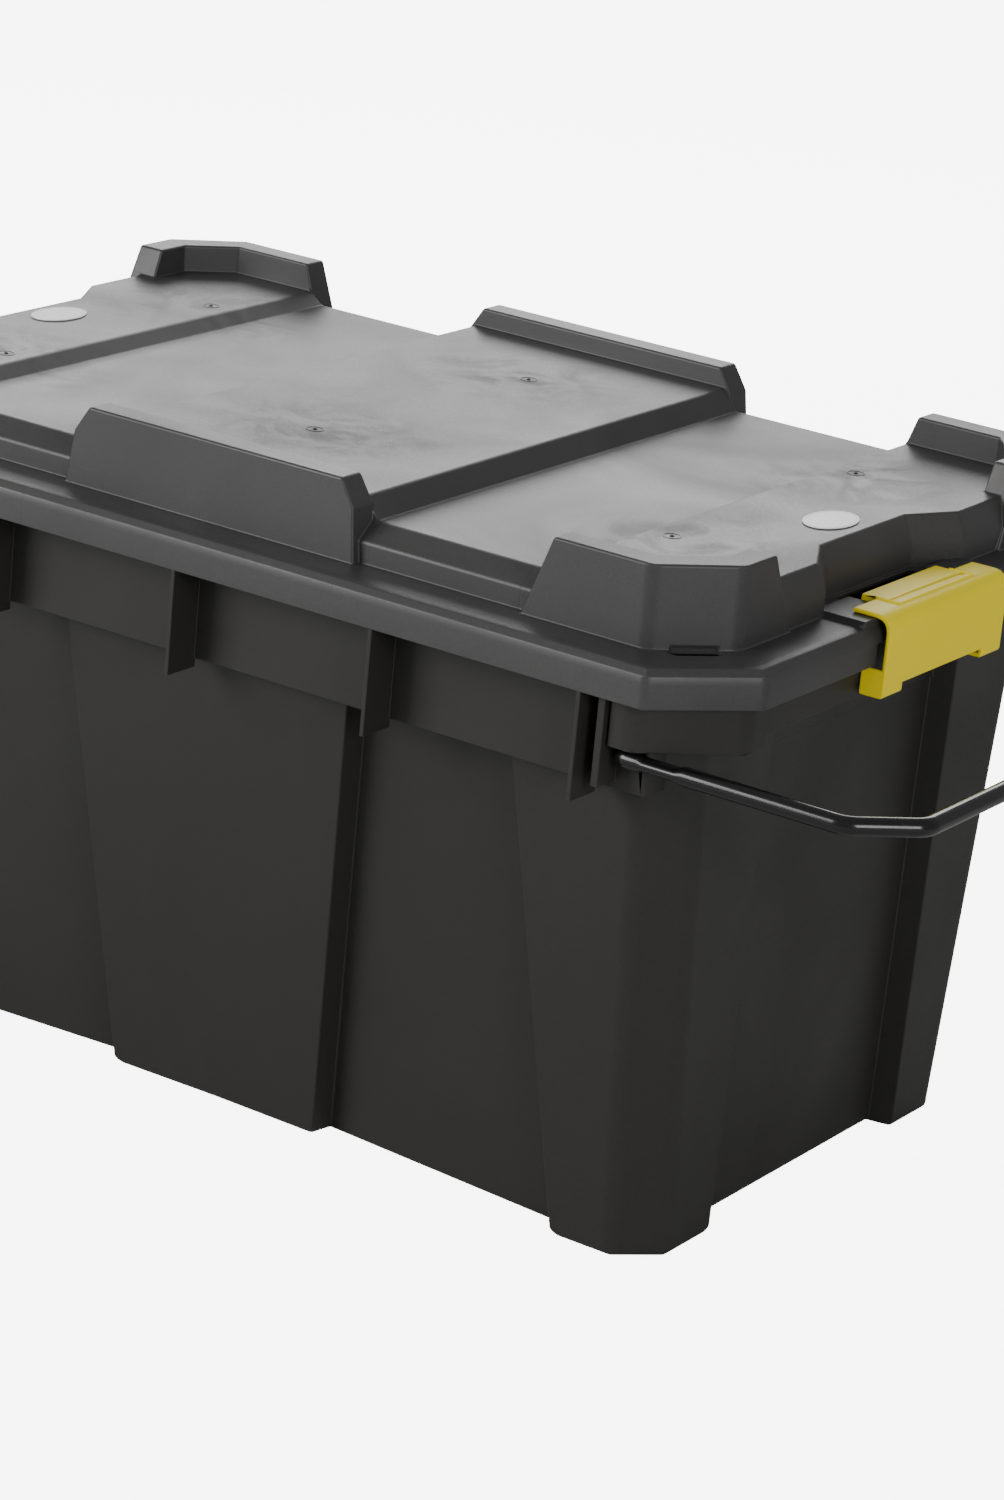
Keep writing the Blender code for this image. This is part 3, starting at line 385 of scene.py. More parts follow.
@dataclass(frozen=True)
class MouldedPlastic:
    """An injection-moulded plastic with a fine matte skin."""

    SPECKLE_TONE = 0.22
    SPECKLE_ROUGHNESS = 0.06
    DRIFT_ROUGHNESS = 0.05
    HALO_TONE = 0.5
    HALO_ROUGHNESS = 0.14
    LINE_DEPTH = 2.4
    BUMP_STRENGTH = 0.6

    name: str
    colour: Colour
    pale: Colour
    roughness: float
    grain_depth: float = 0.00006
    speckle_scale: float = 700.0
    # How far the drifts lift the colour towards pale: a painted sheen.
    drift: float = 0.35
    scuffs: float = 0.35
    level: float = 0.5
    gates: tuple[tuple[float, float], ...] = ()
    line_places: tuple[float, ...] = ()

    def make(self, effects: Effects) -> bpy.types.Material:
        """Build the material.

        Args:
            effects: The shared node groups.

        Returns:
            The finished material.
        """
        sheet, shader = start_material(self.name)
        skin = sheet.add("ShaderNodeGroup", node_tree=effects.skin)
        skin.inputs["Speckle Scale"].default_value = self.speckle_scale
        scuff = sheet.add("ShaderNodeGroup", node_tree=effects.scuffs)
        scuff.inputs["Amount"].default_value = self.scuffs
        # Painted sheen: the drifts lift the colour towards pale where they also make the skin glossier.
        tone = sheet.math("MULTIPLY", skin.outputs["Drift"], self.drift)
        speckle = sheet.spread(skin.outputs["Speckle"], *NOISE_BAND, -self.SPECKLE_TONE, self.SPECKLE_TONE)
        tone = sheet.math("ADD", sheet.math("ADD", tone, speckle), scuff.outputs["Mask"], clamp=True)
        rougher, smoother = self.roughness + self.DRIFT_ROUGHNESS, self.roughness - self.DRIFT_ROUGHNESS
        rough = sheet.spread(skin.outputs["Drift"], 0.0, 1.0, rougher, smoother)
        uneven = self.SPECKLE_ROUGHNESS
        rough = sheet.math("ADD", rough, sheet.spread(skin.outputs["Speckle"], *NOISE_BAND, -uneven, uneven))
        height = skin.outputs["Speckle"]
        for x, y in self.gates:
            halo = sheet.add("ShaderNodeGroup", {"X": x, "Y": y}, node_tree=effects.halo)
            darker = sheet.math("MULTIPLY", halo.outputs[0], self.HALO_TONE)
            tone = sheet.math("SUBTRACT", tone, darker, clamp=True)
            rough = sheet.math("ADD", rough, sheet.math("MULTIPLY", halo.outputs[0], self.HALO_ROUGHNESS))
        for x in self.line_places:
            line = sheet.add("ShaderNodeGroup", {"X": x}, node_tree=effects.lines)
            height = sheet.math("SUBTRACT", height, sheet.math("MULTIPLY", line.outputs[0], self.LINE_DEPTH))
        bump_in = {"Height": height, "Strength": self.BUMP_STRENGTH, "Distance": self.grain_depth}
        bump = sheet.add("ShaderNodeBump", bump_in)
        sheet.tree.links.new(blend_colours(sheet, tone, self.colour, self.pale), shader.inputs["Base Color"])
        sheet.tree.links.new(rough, shader.inputs["Roughness"])
        sheet.tree.links.new(bump.outputs[0], shader.inputs["Normal"])
        shader.inputs["Specular IOR Level"].default_value = self.level
        return owner(sheet)


@dataclass(frozen=True)
class CoatedSteel:
    """A steel bar under a thick gloss coat, with slight runs and rubbed spots."""

    name: str
    colour: Colour
    rubbed: Colour
    roughness: float

    def make(self, effects: Effects) -> bpy.types.Material:
        """Build the material from the shared node groups."""
        sheet, shader = start_material(self.name)
        scuff = sheet.add("ShaderNodeGroup", {"Scale": 60.0, "Amount": 0.5}, node_tree=effects.scuffs)
        scales = {"Speckle Scale": 380.0, "Drift Scale": 25.0}
        skin = sheet.add("ShaderNodeGroup", scales, node_tree=effects.skin)
        mixed = blend_colours(sheet, scuff.outputs["Mask"], self.colour, self.rubbed)
        rough = sheet.spread(skin.outputs["Drift"], 0.0, 1.0, self.roughness, self.roughness + 0.12)
        bump_in = {"Height": skin.outputs["Speckle"], "Strength": 0.2, "Distance": 0.00002}
        sheet.tree.links.new(mixed, shader.inputs["Base Color"])
        sheet.tree.links.new(rough, shader.inputs["Roughness"])
        sheet.tree.links.new(sheet.add("ShaderNodeBump", bump_in).outputs[0], shader.inputs["Normal"])
        shader.inputs["Coat Weight"].default_value = 0.15
        shader.inputs["Specular IOR Level"].default_value = 0.4
        shader.inputs["Coat Roughness"].default_value = 0.12
        return owner(sheet)


@dataclass(frozen=True)
class DrawnSteel:
    """A bright drawn steel pin, with fine lines along Y."""

    LINE_SHADE = 0.6
    ROUGHNESS = (0.22, 0.4)

    name: str
    colour: Colour

    def make(self, effects: Effects) -> bpy.types.Material:
        """Build the material from the shared node groups."""
        sheet, shader = start_material(self.name)
        place = sheet.place()
        mapped = sheet.add("ShaderNodeMapping", {"Vector": place, "Scale": (900.0, 12.0, 900.0)}).outputs[0]
        lines = sheet.noise({"Vector": mapped, "Scale": 1.0, "Detail": 2.0})
        scuff = sheet.add("ShaderNodeGroup", {"Scale": 80.0}, node_tree=effects.scuffs)
        darker = tuple(self.LINE_SHADE * part for part in self.colour)
        sheet.tree.links.new(blend_colours(sheet, lines, darker, self.colour), shader.inputs["Base Color"])
        rough = sheet.spread(lines, *NOISE_BAND, *self.ROUGHNESS)
        rough = sheet.math("ADD", rough, scuff.outputs["Mask"], clamp=True)
        sheet.tree.links.new(rough, shader.inputs["Roughness"])
        shader.inputs["Metallic"].default_value = 1.0
        return owner(sheet)


@dataclass
class Finishes:
    """Every finish of the trunk, by the record's slot names."""

    effects: Effects

    def __post_init__(self) -> None:
        """Make the materials."""
        gates = ((0.268, 0.1125), (0.0, 0.113))
        recipes = [
            MouldedPlastic(
                "body_black", (0.021, 0.0202, 0.0188), (0.032, 0.031, 0.029), 0.5, drift=0.3, scuffs=0.2,
                level=0.36,
            ),
            MouldedPlastic(
                "lid_grey", (0.036, 0.0355, 0.0355), (0.062, 0.060, 0.059), 0.44, drift=0.5,
                gates=gates, line_places=(0.1225, 0.2345),
            ),
            MouldedPlastic(
                "clip_yellow", (0.93, 0.74, 0.0), (1.0, 0.84, 0.0), 0.4, grain_depth=0.00002,
                drift=0.45, scuffs=0.1, level=0.16,
            ),
            MouldedPlastic(
                "bush_black", (0.018, 0.018, 0.018), (0.04, 0.04, 0.04), 0.4, grain_depth=0.00002
            ),
            MouldedPlastic("tray_grey", (0.075, 0.075, 0.077), (0.11, 0.11, 0.112), 0.48, scuffs=0.6),
            MouldedPlastic(
                "label_white", (0.66, 0.66, 0.65), (0.8, 0.8, 0.79), 0.33, grain_depth=0.00001, scuffs=0.2
            ),
            CoatedSteel("bar_black", (0.006, 0.006, 0.006), (0.02, 0.02, 0.02), 0.16),
            DrawnSteel("pin_steel", (0.56, 0.56, 0.57)),
        ]
        self.by_slot = {recipe.name: recipe.make(self.effects) for recipe in recipes}

    def dress(self, piece: bpy.types.Object, slot: str) -> None:
        """Give a piece the finish of a slot and tell the frame so.

        Args:
            piece: The piece to dress.
            slot: The record's slot name.
        """
        piece.data.materials.clear()
        piece.data.materials.append(self.by_slot[slot])
        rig.slot(piece, slot)


# ---------------------------------------------------------------- modelling by hand, in code


def deselect_all() -> None:
    """Leave nothing selected."""
    for obj in bpy.context.selected_objects:
        obj.select_set(False)


def take_up(piece: bpy.types.Object) -> None:
    """Make a piece the only selected object and the active one."""
    deselect_all()
    piece.select_set(True)
    bpy.context.view_layer.objects.active = piece


def settle(piece: bpy.types.Object) -> None:
    """Put a piece's place into its mesh, so that its object sits at the origin."""
    take_up(piece)
    bpy.ops.object.transform_apply(location=True, rotation=True, scale=True)


def apply_all(piece: bpy.types.Object) -> None:
    """Apply every modifier of a piece, in order."""
    take_up(piece)
    for modifier in list(piece.modifiers):
        bpy.ops.object.modifier_apply(modifier=modifier.name)


@contextmanager
def editing(selection: str) -> Iterator[None]:
    """Edit the active piece's mesh, from everything selected or nothing.

    Args:
        selection: SELECT or DESELECT.
    """
    bpy.ops.object.mode_set(mode="EDIT")
    bpy.ops.mesh.select_all(action=selection)
    yield
    bpy.ops.object.mode_set(mode="OBJECT")


def close_up(gap: float) -> None:
    """Merge the active piece's points that are nearer than a gap, and turn its faces outward."""
    with editing("SELECT"):
        bpy.ops.mesh.remove_doubles(threshold=gap)
        bpy.ops.mesh.normals_make_consistent(inside=False)


def inset_top(piece: bpy.types.Object, steps: Steps) -> None:
    """Inset the top face of the active piece, step by step.

    Args:
        piece: The piece.
        steps: The inset and the rise of each step, in millimetres.
    """
    with editing("DESELECT"):
        pass  # Leaving edit mode writes the empty selection into the mesh.
    max(piece.data.polygons, key=lambda face: face.center.z).select = True
    bpy.ops.object.mode_set(mode="EDIT")
    for thickness, depth in steps:
        bpy.ops.mesh.inset(thickness=thickness * MM, depth=depth * MM)
    bpy.ops.object.mode_set(mode="OBJECT")


def finish_shading(piece: bpy.types.Object, degrees: float = SMOOTH_DEGREES) -> None:
    """Shade a piece smooth over its rounded edges and flat on its faces.

    Args:
        piece: The piece.
        degrees: Edges that turn by more than this stay sharp.
    """
    take_up(piece)
    bpy.ops.object.shade_smooth_by_angle(angle=math.radians(degrees))
    weighted = piece.modifiers.new("flat_faces", "WEIGHTED_NORMAL")
    weighted.keep_sharp = True
    weighted.weight = FLAT_FACE_WEIGHT
    apply_all(piece)


@dataclass
class EdgeFacts:
    """What an edge rule may ask of an edge."""

    middle: Vector
    along: Vector
    length: float
    angle: float
    convex: bool


def moulded_copy(node: str, name: str) -> bpy.types.Object:
    """Copy a frame node's mesh as a new piece, merged and with its flat faces whole.

    Args:
        node: The frame node.
        name: The new piece's name.

    Returns:
        The piece, still with sharp edges.
    """
    piece = bpy.data.objects.new(name, bpy.data.objects[node].data.copy())
    bpy.context.scene.collection.objects.link(piece)
    take_up(piece)
    with editing("SELECT"):
        bpy.ops.mesh.remove_doubles(threshold=SAME_POINT)
        bpy.ops.mesh.dissolve_limited(angle_limit=math.radians(LEVEL_DEGREES))
        bpy.ops.mesh.dissolve_degenerate(threshold=LEAST_FACE)
    return piece


def soften(piece: bpy.types.Object, rule: EdgeRule, segments: int = 3) -> None:
    """Round a piece's edges by the radius that a rule gives each of them.

    Args:
        piece: The piece.
        rule: Gives the width of an edge's rounding, in metres, from the edge's facts.
        segments: Faces across each rounding.
    """
    shape = bmesh.new()
    shape.from_mesh(piece.data)
    widths = []
    for edge in shape.edges:
        width = 0.0
        if len(edge.link_faces) == 2:
            first, second = (vert.co for vert in edge.verts)
            facts = EdgeFacts(
                (first + second) / 2, (second - first).normalized(), edge.calc_length(),
                math.degrees(edge.calc_face_angle(0.0)), edge.is_convex,
            )
            if facts.angle > ROUNDED_DEGREES:
                width = rule(facts)
        widths.append(width)
    shape.free()
    most = max(widths)
    layer = piece.data.attributes.new("bevel_weight_edge", "FLOAT", "EDGE")
    layer.data.foreach_set("value", np.array(widths, np.float32) / most)
    bevel = piece.modifiers.new("rounding", "BEVEL")
    bevel.limit_method = "WEIGHT"
    bevel.width = most
    bevel.segments = segments
    bevel.use_clamp_overlap = False
    apply_all(piece)


def pivot_of(node: str) -> Place:
    """The place of the joint that a frame node turns about."""
    return next(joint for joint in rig.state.joints if joint["child"] == node)["pos_m"]


def stand_in(piece: bpy.types.Object, node: str, body: str) -> None:
    """Let a piece replace a frame node and ride on its body.

    Args:
        piece: The visible piece.
        node: The frame node that it stands for.
        body: The moving body that it follows.
    """
    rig.replaces(piece, node)
    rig.ride(piece, body)
    LOG.info("%s: %d faces, replaces %s", piece.name, len(piece.data.polygons), node)


# ---------------------------------------------------------------- sub-assemblies


@dataclass
class Tub:
    """The moulded tub."""

    finishes: Finishes
    edge: float = 0.9 * MM
    thin_edge: float = 0.55 * MM
    foot_edge: float = 2.3 * MM
    post_round: float = 8.0 * MM
    block_round: float = 9.0 * MM
    collar_round: float = 2.6 * MM
    shoulder: float = 0.322
    upright_share: float = 0.9
    post_from: tuple[float, float] = (0.32, 0.155)
    block_from: Place = (0.33, 0.195, 0.352)
    collar_end_x: tuple[float, float] = (0.33, 0.345)
    collar_end_y: tuple[float, float] = (0.235, 0.237)
    rib_line: float = 0.2345
    foot: float = 4.5 * MM
    sliver: float = 1.4 * MM
    short_edge: float = 4 * MM

    def rounding(self, edge: EdgeFacts) -> float:
        """The rounding of one of the tub's edges."""
        x, y, z = abs(edge.middle.x), abs(edge.middle.y), edge.middle.z
        corner = edge.convex and abs(edge.along.z) > self.upright_share
        below = z < self.shoulder
        above = z > self.shoulder
        if corner and below and x > self.post_from[0] and y > self.post_from[1]:
            return self.post_round
        if corner and x > self.block_from[0] and y > self.block_from[1] and z > self.block_from[2]:
            return self.block_round
        at_collar_end = (
            self.collar_end_x[0] < x < self.collar_end_x[1]
            and self.collar_end_y[0] < y < self.collar_end_y[1]
        )
        if corner and above and at_collar_end:
            return self.collar_round
        if z < self.foot and edge.convex:
            return self.foot_edge
        if edge.length < self.sliver:
            return 0.0
        if above and y > self.rib_line:
            return self.thin_edge
        return self.edge if edge.length > self.short_edge else self.thin_edge

    def build(self) -> None:
        """Build and dress the tub."""
        shell = moulded_copy("tub", "tub_shell")
        soften(shell, self.rounding)
        finish_shading(shell)
        self.finishes.dress(shell, "body_black")
        stand_in(shell, "tub", "tub")


@dataclass
class Lid:
    """The moulded lid with its gate marks and blank label plates."""

    finishes: Finishes
    edge: float = 1.8 * MM
    foot_edge: float = 1.0 * MM
    thin_edge: float = 0.55 * MM
    corner_round: float = 7.0 * MM
    gate_ring: float = 5.6 * MM
    gate_wire: float = 0.5 * MM
    gate_squash: float = 0.7
    button_radius: float = 1.5 * MM
    button_depth: float = 1.0 * MM
    button_steps: Steps = ((0.5, 0.15), (0.45, -0.5))
    plate_steps: Steps = ((0.15, 0.0), (1.1, 0.0), (0.15, -0.18), (0.35, 0.0), (0.15, 0.18))
    plate_smooth: float = 25.0
    flange: float = 0.411
    flange_edge: float = 1.0 * MM
    upright_share: float = 0.8
    corner_from: tuple[float, float] = (0.3, 0.15)
    corner_height: float = 9 * MM
    clip_seat: tuple[float, float] = (0.345, 0.092)
    clip_seat_rise: float = 5 * MM
    sliver: float = 1.4 * MM
    short_edge: float = 6 * MM
    gate_places: tuple[tuple[float, float], ...] = ((0.268, 0.1125), (0.268, -0.1125), (0.007, 0.113))

    def rounding(self, edge: EdgeFacts) -> float:
        """The rounding of one of the lid's edges."""
        x, y, z = abs(edge.middle.x), abs(edge.middle.y), edge.middle.z
        flange = self.flange
        corner = edge.convex and abs(edge.along.z) > self.upright_share
        if edge.length < self.sliver:
            return 0.0
        at_corner = x > self.corner_from[0] and y > self.corner_from[1]
        if corner and at_corner and edge.length > self.corner_height:
            return self.corner_round
        if x > self.clip_seat[0] and y < self.clip_seat[1] and z < flange + self.clip_seat_rise:
            return self.thin_edge
        if z < flange - self.flange_edge:
            return self.thin_edge
        if not edge.convex or z < flange + self.flange_edge:
            return self.foot_edge
        return self.edge if edge.length > self.short_edge else self.thin_edge

    def build(self) -> None:
        """Build the lid's shell, gate marks and labels."""
        shell = moulded_copy("lid", "lid_shell")
        soften(shell, self.rounding)
        finish_shading(shell)
        self.finishes.dress(shell, "lid_grey")
        stand_in(shell, "lid", "lid")
        self.gate_marks()
        for side in Side:
            self.label(side)

    def top_at(self, x: float, y: float) -> float:
        """The height of the lid's top over a place on the plan.

        Args:
            x: The place along the trunk.
            y: The place across it.

        Returns:
            The height, in metres.
        """
        lid = bpy.data.objects["lid_shell"]
        hit = lid.ray_cast(Vector((x, y, 1.0)), Vector((0, 0, -1)))
        return hit[1].z

    def gate_marks(self) -> None:
        """Small raised rings with a dimpled button where the melt entered the mould."""
        places = [*self.gate_places, *((-x, -y) for x, y in self.gate_places)]
        made = []
        for x, y in places:
            z = self.top_at(x, y)
            deselect_all()
            bpy.ops.mesh.primitive_torus_add(
                location=(x, y, z), major_radius=self.gate_ring, minor_radius=self.gate_wire,
                major_segments=40, minor_segments=8,
            )
            ring = bpy.context.object
            bpy.ops.transform.resize(value=(1.0, 1.0, self.gate_squash), center_override=(x, y, z))
            settle(ring)
            deselect_all()
            bpy.ops.mesh.primitive_cylinder_add(
                vertices=24, radius=self.button_radius, depth=self.button_depth, location=(x, y, z),
                end_fill_type="NGON",
            )
            button = bpy.context.object
            settle(button)
            inset_top(button, self.button_steps)
            made += [ring, button]
        deselect_all()
        for part in made:
            part.select_set(True)
        bpy.context.view_layer.objects.active = made[0]
        bpy.ops.object.join()
        marks = bpy.context.object
        marks.name = "lid_gate_marks"
        finish_shading(marks)
        self.finishes.dress(marks, "lid_grey")
        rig.ride(marks, "lid")
        LOG.info("%s: %d marks", marks.name, len(places))

    def label(self, side: Side) -> None:
        """A blank oval plate with a raised border and a fine line inside it.

        Args:
            side: The trunk's end that the plate is on.
        """
        node = f"label_{side.word}"
        low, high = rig.box(node)
        middle = (low + high) / 2
        deselect_all()
        bpy.ops.mesh.primitive_cylinder_add(
            vertices=72, radius=0.5, depth=high.z - low.z, location=middle, end_fill_type="NGON"
        )
        plate = bpy.context.object
        plate.name = f"label_plate_{side.word}"
        size = high - low
        bpy.ops.transform.resize(value=(size.x, size.y, 1.0), center_override=middle)
        settle(plate)
        inset_top(plate, self.plate_steps)
        finish_shading(plate, self.plate_smooth)
        self.finishes.dress(plate, "label_white")
        stand_in(plate, node, "lid")


@dataclass
class EndClip:
    """One yellow clip with its groove, and its hinge pin."""

    finishes: Finishes
    side: Side
    edge: float = 1.25 * MM
    groove_radius: float = 1.6 * MM
    groove_bite: float = 0.7 * MM
    top_dip: float = 0.6 * MM
    tab_inset: float = 19 * MM
    far_inset: float = 9.5 * MM
    hook_step: float = 3 * MM
    near_stops: tuple[float, float] = (26 * MM, 22 * MM)
    far_stops: tuple[float, float, float] = (38 * MM, 26 * MM, 16 * MM)
    sliver: float = 1.6 * MM
    short_edge: float = 4 * MM
    short_share: float = 0.5
    smooth: float = 32.0

    def rounding(self, edge: EdgeFacts) -> float:
        """The rounding of one of the clip's edges."""
        if edge.length < self.sliver:
            return 0.0
        if edge.length < self.short_edge:
            return self.short_share * self.edge
        return self.edge

    def groove(self, clip: bpy.types.Object) -> None:
        """Press the shallow hooked groove into the clip's top.

        Args:
            clip: The clip's piece.
        """
        low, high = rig.box(f"clip_{self.side.word}")
        sign = self.side.value
        outer = max(abs(low.x), abs(high.x))
        tab_line, far_line = outer - self.tab_inset, outer - self.far_inset
        half = high.y
        z = high.z - self.top_dip + self.groove_radius - self.groove_bite
        route = [
            (far_line, -half + self.near_stops[0]),
            (tab_line, -half + self.near_stops[1]),
            (tab_line, half - self.far_stops[0]),
            (tab_line + self.hook_step, half - self.far_stops[1]),
            (far_line, half - self.far_stops[2]),
        ]
        curve = bpy.data.curves.new("groove_tool", "CURVE")
        curve.dimensions = "3D"
        curve.bevel_depth = self.groove_radius
        curve.bevel_resolution = 3
        curve.use_fill_caps = True
        line = curve.splines.new("POLY")
        line.points.add(len(route) - 1)
        for point, (x, y) in zip(line.points, route):
            point.co = (sign * x, y, z, 1.0)
        tool = bpy.data.objects.new("groove_tool", curve)
        bpy.context.scene.collection.objects.link(tool)
        take_up(tool)
        bpy.ops.object.convert(target="MESH")
        tool = bpy.context.object
        close_up(2 * SAME_POINT)
        cut = clip.modifiers.new("groove", "BOOLEAN")
        cut.operation = "DIFFERENCE"
        cut.object = tool
        apply_all(clip)
        bpy.data.objects.remove(tool)

    def build(self) -> None:
        """Build the clip and dress its pin."""
        node = f"clip_{self.side.word}"
        clip = moulded_copy(node, f"end_clip_{self.side.word}")
        soften(clip, self.rounding, segments=4)
        self.groove(clip)
        finish_shading(clip, self.smooth)
        self.finishes.dress(clip, "clip_yellow")
        stand_in(clip, node, node)
        self.finishes.dress(bpy.data.objects[f"clip_pin_{self.side.word}"], "pin_steel")


@dataclass
class BailHandle:
    """One bail handle, bent from a round bar, and the bushes that carry it."""

    finishes: Finishes
    side: Side
    bar_radius: float = 6.0 * MM
    pin_bend: float = 6.5 * MM
    bend: float = 16.0 * MM
    chamfer: float = 34.0 * MM
    crimp: tuple[float, float] = (12.0 * MM, 34.0 * MM)
    crimp_share: float = 0.74
    crimp_lead: float = 4 * MM
    crimp_tail: float = 5 * MM
    crimp_slack: float = 1 * MM
    pin_past: float = 1.0 * MM
    sides: int = 28
    pin_rings: int = 10
    bend_rings: int = 8
    smooth: float = 50.0

    def build(self) -> None:
        """Bend the bar and dress the bushes."""
        word = self.side.word
        node = f"handle_{word}"
        low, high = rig.box(node)
        pivot = pivot_of(node)
        bar_x = max(abs(low.x), abs(high.x)) - self.bar_radius
        arm_y = high.y - self.bar_radius
        bush_low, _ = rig.box(f"handle_bush_{word}_back")
        start_y = bush_low.y - self.pin_past
        z = pivot[2]
        turn = math.pi / 4
        short = self.bend * math.tan(turn / 2)
        deselect_all()
        bpy.ops.mesh.primitive_circle_add(
            vertices=self.sides, radius=self.bar_radius, fill_type="NGON",
            location=(abs(pivot[0]), start_y, z), rotation=(math.pi / 2, 0.0, 0.0),
        )
        bar = bpy.context.object
        bar.name = f"bail_{word}"
        settle(bar)
        straight = bar_x - self.chamfer - short - abs(pivot[0]) - self.pin_bend
        steps = (
            self.crimp[0] - self.crimp_lead, self.crimp_lead, self.crimp[1] - self.crimp[0], self.crimp_tail
        )
        start_x = bar_x - self.chamfer - short
        diagonal = self.chamfer * math.sqrt(2) - 2 * short
        with editing("SELECT"):
            self.draw((0.0, arm_y - self.pin_bend - start_y, 0.0))
            pin_centre = (abs(pivot[0]) + self.pin_bend, arm_y - self.pin_bend, z)
            self.turn(-math.pi / 2, pin_centre, self.pin_rings)
            for step in (*steps, straight - sum(steps)):
                self.draw((step, 0.0, 0.0))
            self.turn(-turn, (start_x, arm_y - self.bend, z), self.bend_rings)
            self.draw((diagonal / math.sqrt(2), -diagonal / math.sqrt(2), 0.0))
            self.turn(-turn, (bar_x - self.bend, arm_y - self.chamfer - short, z), self.bend_rings)
            self.draw((0.0, -(arm_y - self.chamfer - short), 0.0))
            bpy.ops.mesh.delete(type="ONLY_FACE")
        self.flatten(bar, abs(pivot[0]) + self.pin_bend, arm_y, z)
        mirror = bar.modifiers.new("other_arm", "MIRROR")
        mirror.use_axis = (False, True, False)
        mirror.use_mirror_merge = True
        mirror.merge_threshold = 2 * SAME_POINT
        apply_all(bar)
        if self.side is Side.LEFT:
            bpy.ops.transform.resize(value=(-1.0, 1.0, 1.0), center_override=(0.0, 0.0, 0.0))
            settle(bar)
        close_up(SAME_POINT)
        finish_shading(bar, self.smooth)
        self.finishes.dress(bar, "bar_black")
        stand_in(bar, node, node)
        for end in ("front", "back"):
            self.finishes.dress(bpy.data.objects[f"handle_bush_{word}_{end}"], "bush_black")

    def draw(self, step: tuple[float, float, float]) -> None:
        """Extrude the bar's selected end by a step."""
        bpy.ops.mesh.extrude_region_move(TRANSFORM_OT_translate={"value": step})

    def turn(self, angle: float, centre: tuple[float, float, float], steps: int) -> None:
        """Bend the bar's selected end about a vertical axis.

        Args:
            angle: The bend, in radians.
            centre: The bend's centre.
            steps: Rings in the bend.
        """
        bpy.ops.mesh.spin(steps=steps, angle=-angle, center=centre, axis=(0.0, 0.0, 1.0))

    def flatten(self, bar: bpy.types.Object, start_x: float, arm_y: float, z: float) -> None:
        """Crimp a short stretch of the arm beside its pivot.

        Args:
            bar: The half handle, on the +X and +Y side.
            start_x: Where the arm's straight stretch starts.
            arm_y: The arm's line.
            z: The bar's height.
        """
        take_up(bar)
        low = start_x + self.crimp[0] - self.crimp_slack
        high = start_x + self.crimp[1] + self.crimp_slack
        with editing("DESELECT"):
            pass  # Leaving edit mode writes the empty selection into the mesh.
        for vert in bar.data.vertices:
            vert.select = low < vert.co.x < high and vert.co.y > arm_y - 2 * self.bar_radius
        bpy.ops.object.mode_set(mode="EDIT")
        bpy.ops.transform.resize(value=(1.0, 1.0, self.crimp_share), center_override=(low, arm_y, z))
        bpy.ops.object.mode_set(mode="OBJECT")


@dataclass
class ToolTray:
    """The lift-out tray and its dividers."""

    finishes: Finishes
    edge: float = 0.7 * MM
    sliver: float = 3 * MM

    def rounding(self, edge: EdgeFacts) -> float:
        """The rounding of one of the tray's edges."""
        return self.edge if edge.length > self.sliver else 0.0

    def build(self) -> None:
        """Build the tray and the dividers."""
        for node in ("tray", "tray_divider_right", "tray_divider_left"):
            piece = moulded_copy(node, f"{node}_moulding")
            soften(piece, self.rounding)
            finish_shading(piece)
            self.finishes.dress(piece, "tray_grey")
            stand_in(piece, node, "tray")


# ---------------------------------------------------------------- studio


def floor_output(sheet: Sheet) -> bpy.types.Node:
    """The output node of a material's sheet."""
    return next(node for node in sheet.tree.nodes if node.type == "OUTPUT_MATERIAL")


@dataclass(frozen=True)
class SoftLight:
    """A rectangular soft light, from its place towards its aim."""

    name: str
    place: Place
    aim: Place
    size: tuple[float, float]
    watts: float

    def hang(self) -> None:
        """Add the light to the scene."""
        data = bpy.data.lights.new(self.name, "AREA")
        data.shape = "RECTANGLE"
        data.size, data.size_y = self.size
        data.energy = self.watts
        lamp = bpy.data.objects.new(self.name, data)
        bpy.context.scene.collection.objects.link(lamp)
        lamp.location = self.place
        lamp.rotation_euler = (Vector(self.aim) - Vector(self.place)).to_track_quat("-Z", "Y").to_euler()


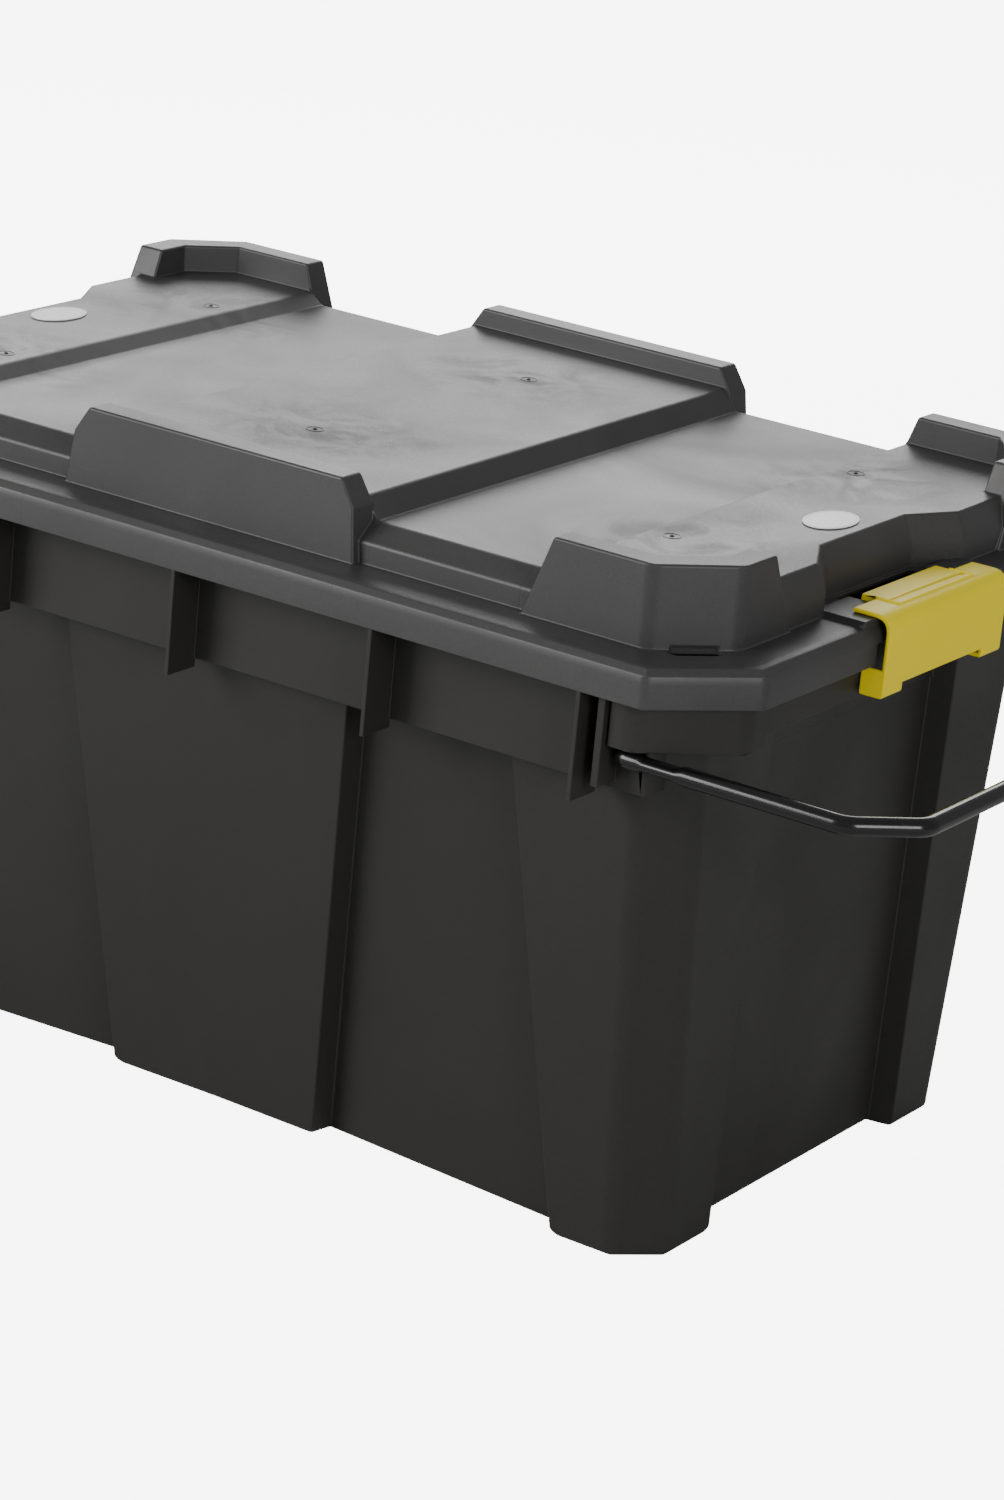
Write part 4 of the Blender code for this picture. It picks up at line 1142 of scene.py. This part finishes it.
@dataclass
class Studio:
    """The pale floor, the soft lights and the camera."""

    place: Vector = Vector((1.648013, -2.425626, 1.216596))
    azimuth: float = 32.769
    elevation: float = 18.91
    roll: float = 5.461
    lens: float = 109.08
    film_height: float = 36.0
    room_light: float = 0.33
    room_seen: float = 12.0
    floor_glow: float = 7.0
    floor_grey: float = 0.6
    floor_size: float = 60.0
    floor_gap: float = 0.3 * MM
    lights: tuple[SoftLight, ...] = (
        SoftLight("top_back", (-1.75, 2.7, 1.75), (0.0, 0.1, 0.4), (2.8, 1.5), 64.0),
        SoftLight("front_left", (-2.2, -3.0, 1.7), (0.0, -0.2, 0.25), (2.0, 2.0), 125.0),
        SoftLight("right_side", (2.9, -1.6, 1.3), (0.45, 0.0, 0.35), (1.2, 1.2), 40.0),
    )

    def camera(self) -> None:
        """Place the camera."""
        around, up_turn, roll = (math.radians(a) for a in (self.azimuth, self.elevation, self.roll))
        back = Vector((
            math.sin(around) * math.cos(up_turn), -math.cos(around) * math.cos(up_turn), math.sin(up_turn)
        ))
        right = Vector((math.cos(around), math.sin(around), 0.0))
        upward = back.cross(right)
        across = math.cos(roll) * right + math.sin(roll) * upward
        over = math.cos(roll) * upward - math.sin(roll) * right
        data = bpy.data.cameras.new("camera")
        data.sensor_fit = "VERTICAL"
        data.sensor_height = self.film_height
        data.lens = self.lens
        camera = bpy.data.objects.new("camera", data)
        bpy.context.scene.collection.objects.link(camera)
        turned = Matrix((across, over, back)).transposed().to_4x4()
        turned.translation = self.place
        camera.matrix_world = turned
        bpy.context.scene.camera = camera

    def world(self) -> None:
        """A white backdrop that the camera sees bright and the trunk is lit by softly."""
        world = bpy.data.worlds.new("white_room")
        world.use_nodes = True
        bpy.context.scene.world = world
        sheet = Sheet(world.node_tree)
        soft = world.node_tree.nodes["Background"]
        soft.inputs["Color"].default_value = WHITE
        soft.inputs["Strength"].default_value = self.room_light
        bright = sheet.add("ShaderNodeBackground", {"Color": WHITE, "Strength": self.room_seen})
        seen = sheet.add("ShaderNodeLightPath").outputs["Is Camera Ray"]
        mixed = sheet.add("ShaderNodeMixShader", {0: seen, 1: soft.outputs[0], 2: bright.outputs[0]})
        out = world.node_tree.nodes["World Output"]
        world.node_tree.links.new(mixed.outputs[0], out.inputs["Surface"])

    def floor(self) -> None:
        """A plain pale floor."""
        deselect_all()
        bpy.ops.mesh.primitive_plane_add(size=self.floor_size, location=(0.0, 0.0, -self.floor_gap))
        floor = bpy.context.object
        floor.name = "floor"
        sheet, shader = start_material("pale_floor")
        shader.inputs["Base Color"].default_value = (*(self.floor_grey,) * 3, 1.0)
        shader.inputs["Roughness"].default_value = 0.9
        shader.inputs["Specular IOR Level"].default_value = 0.1
        seen = sheet.add("ShaderNodeLightPath").outputs["Is Camera Ray"]
        glow_in = {"Color": WHITE, "Strength": sheet.math("MULTIPLY", seen, self.floor_glow)}
        glow = sheet.add("ShaderNodeEmission", glow_in)
        both = sheet.add("ShaderNodeAddShader", {0: shader.outputs[0], 1: glow.outputs[0]})
        out = floor_output(sheet)
        sheet.tree.links.new(both.outputs[0], out.inputs["Surface"])
        floor.data.materials.append(owner(sheet))
        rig.stage(floor)

    def build(self) -> None:
        """Set up the camera, the lights and the floor."""
        self.camera()
        self.world()
        for light in self.lights:
            light.hang()
        self.floor()


def main() -> None:
    """Build the trunk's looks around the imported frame."""
    logging.basicConfig(level=logging.INFO, format="%(asctime)s %(message)s")
    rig.load()
    frame_box = [list(corner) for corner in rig.bounds()]
    Studio().build()
    finishes = Finishes(Effects())
    Tub(finishes).build()
    Lid(finishes).build()
    for side in Side:
        EndClip(finishes, side).build()
        BailHandle(finishes, side).build()
    ToolTray(finishes).build()
    deselect_all()
    shown_box = [list(corner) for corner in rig.bounds()]
    with open(SIZE_FILE, "w", encoding="utf-8") as file:
        json.dump({"frame": frame_box, "visual": shown_box}, file)


if __name__ == "__main__":
    main()
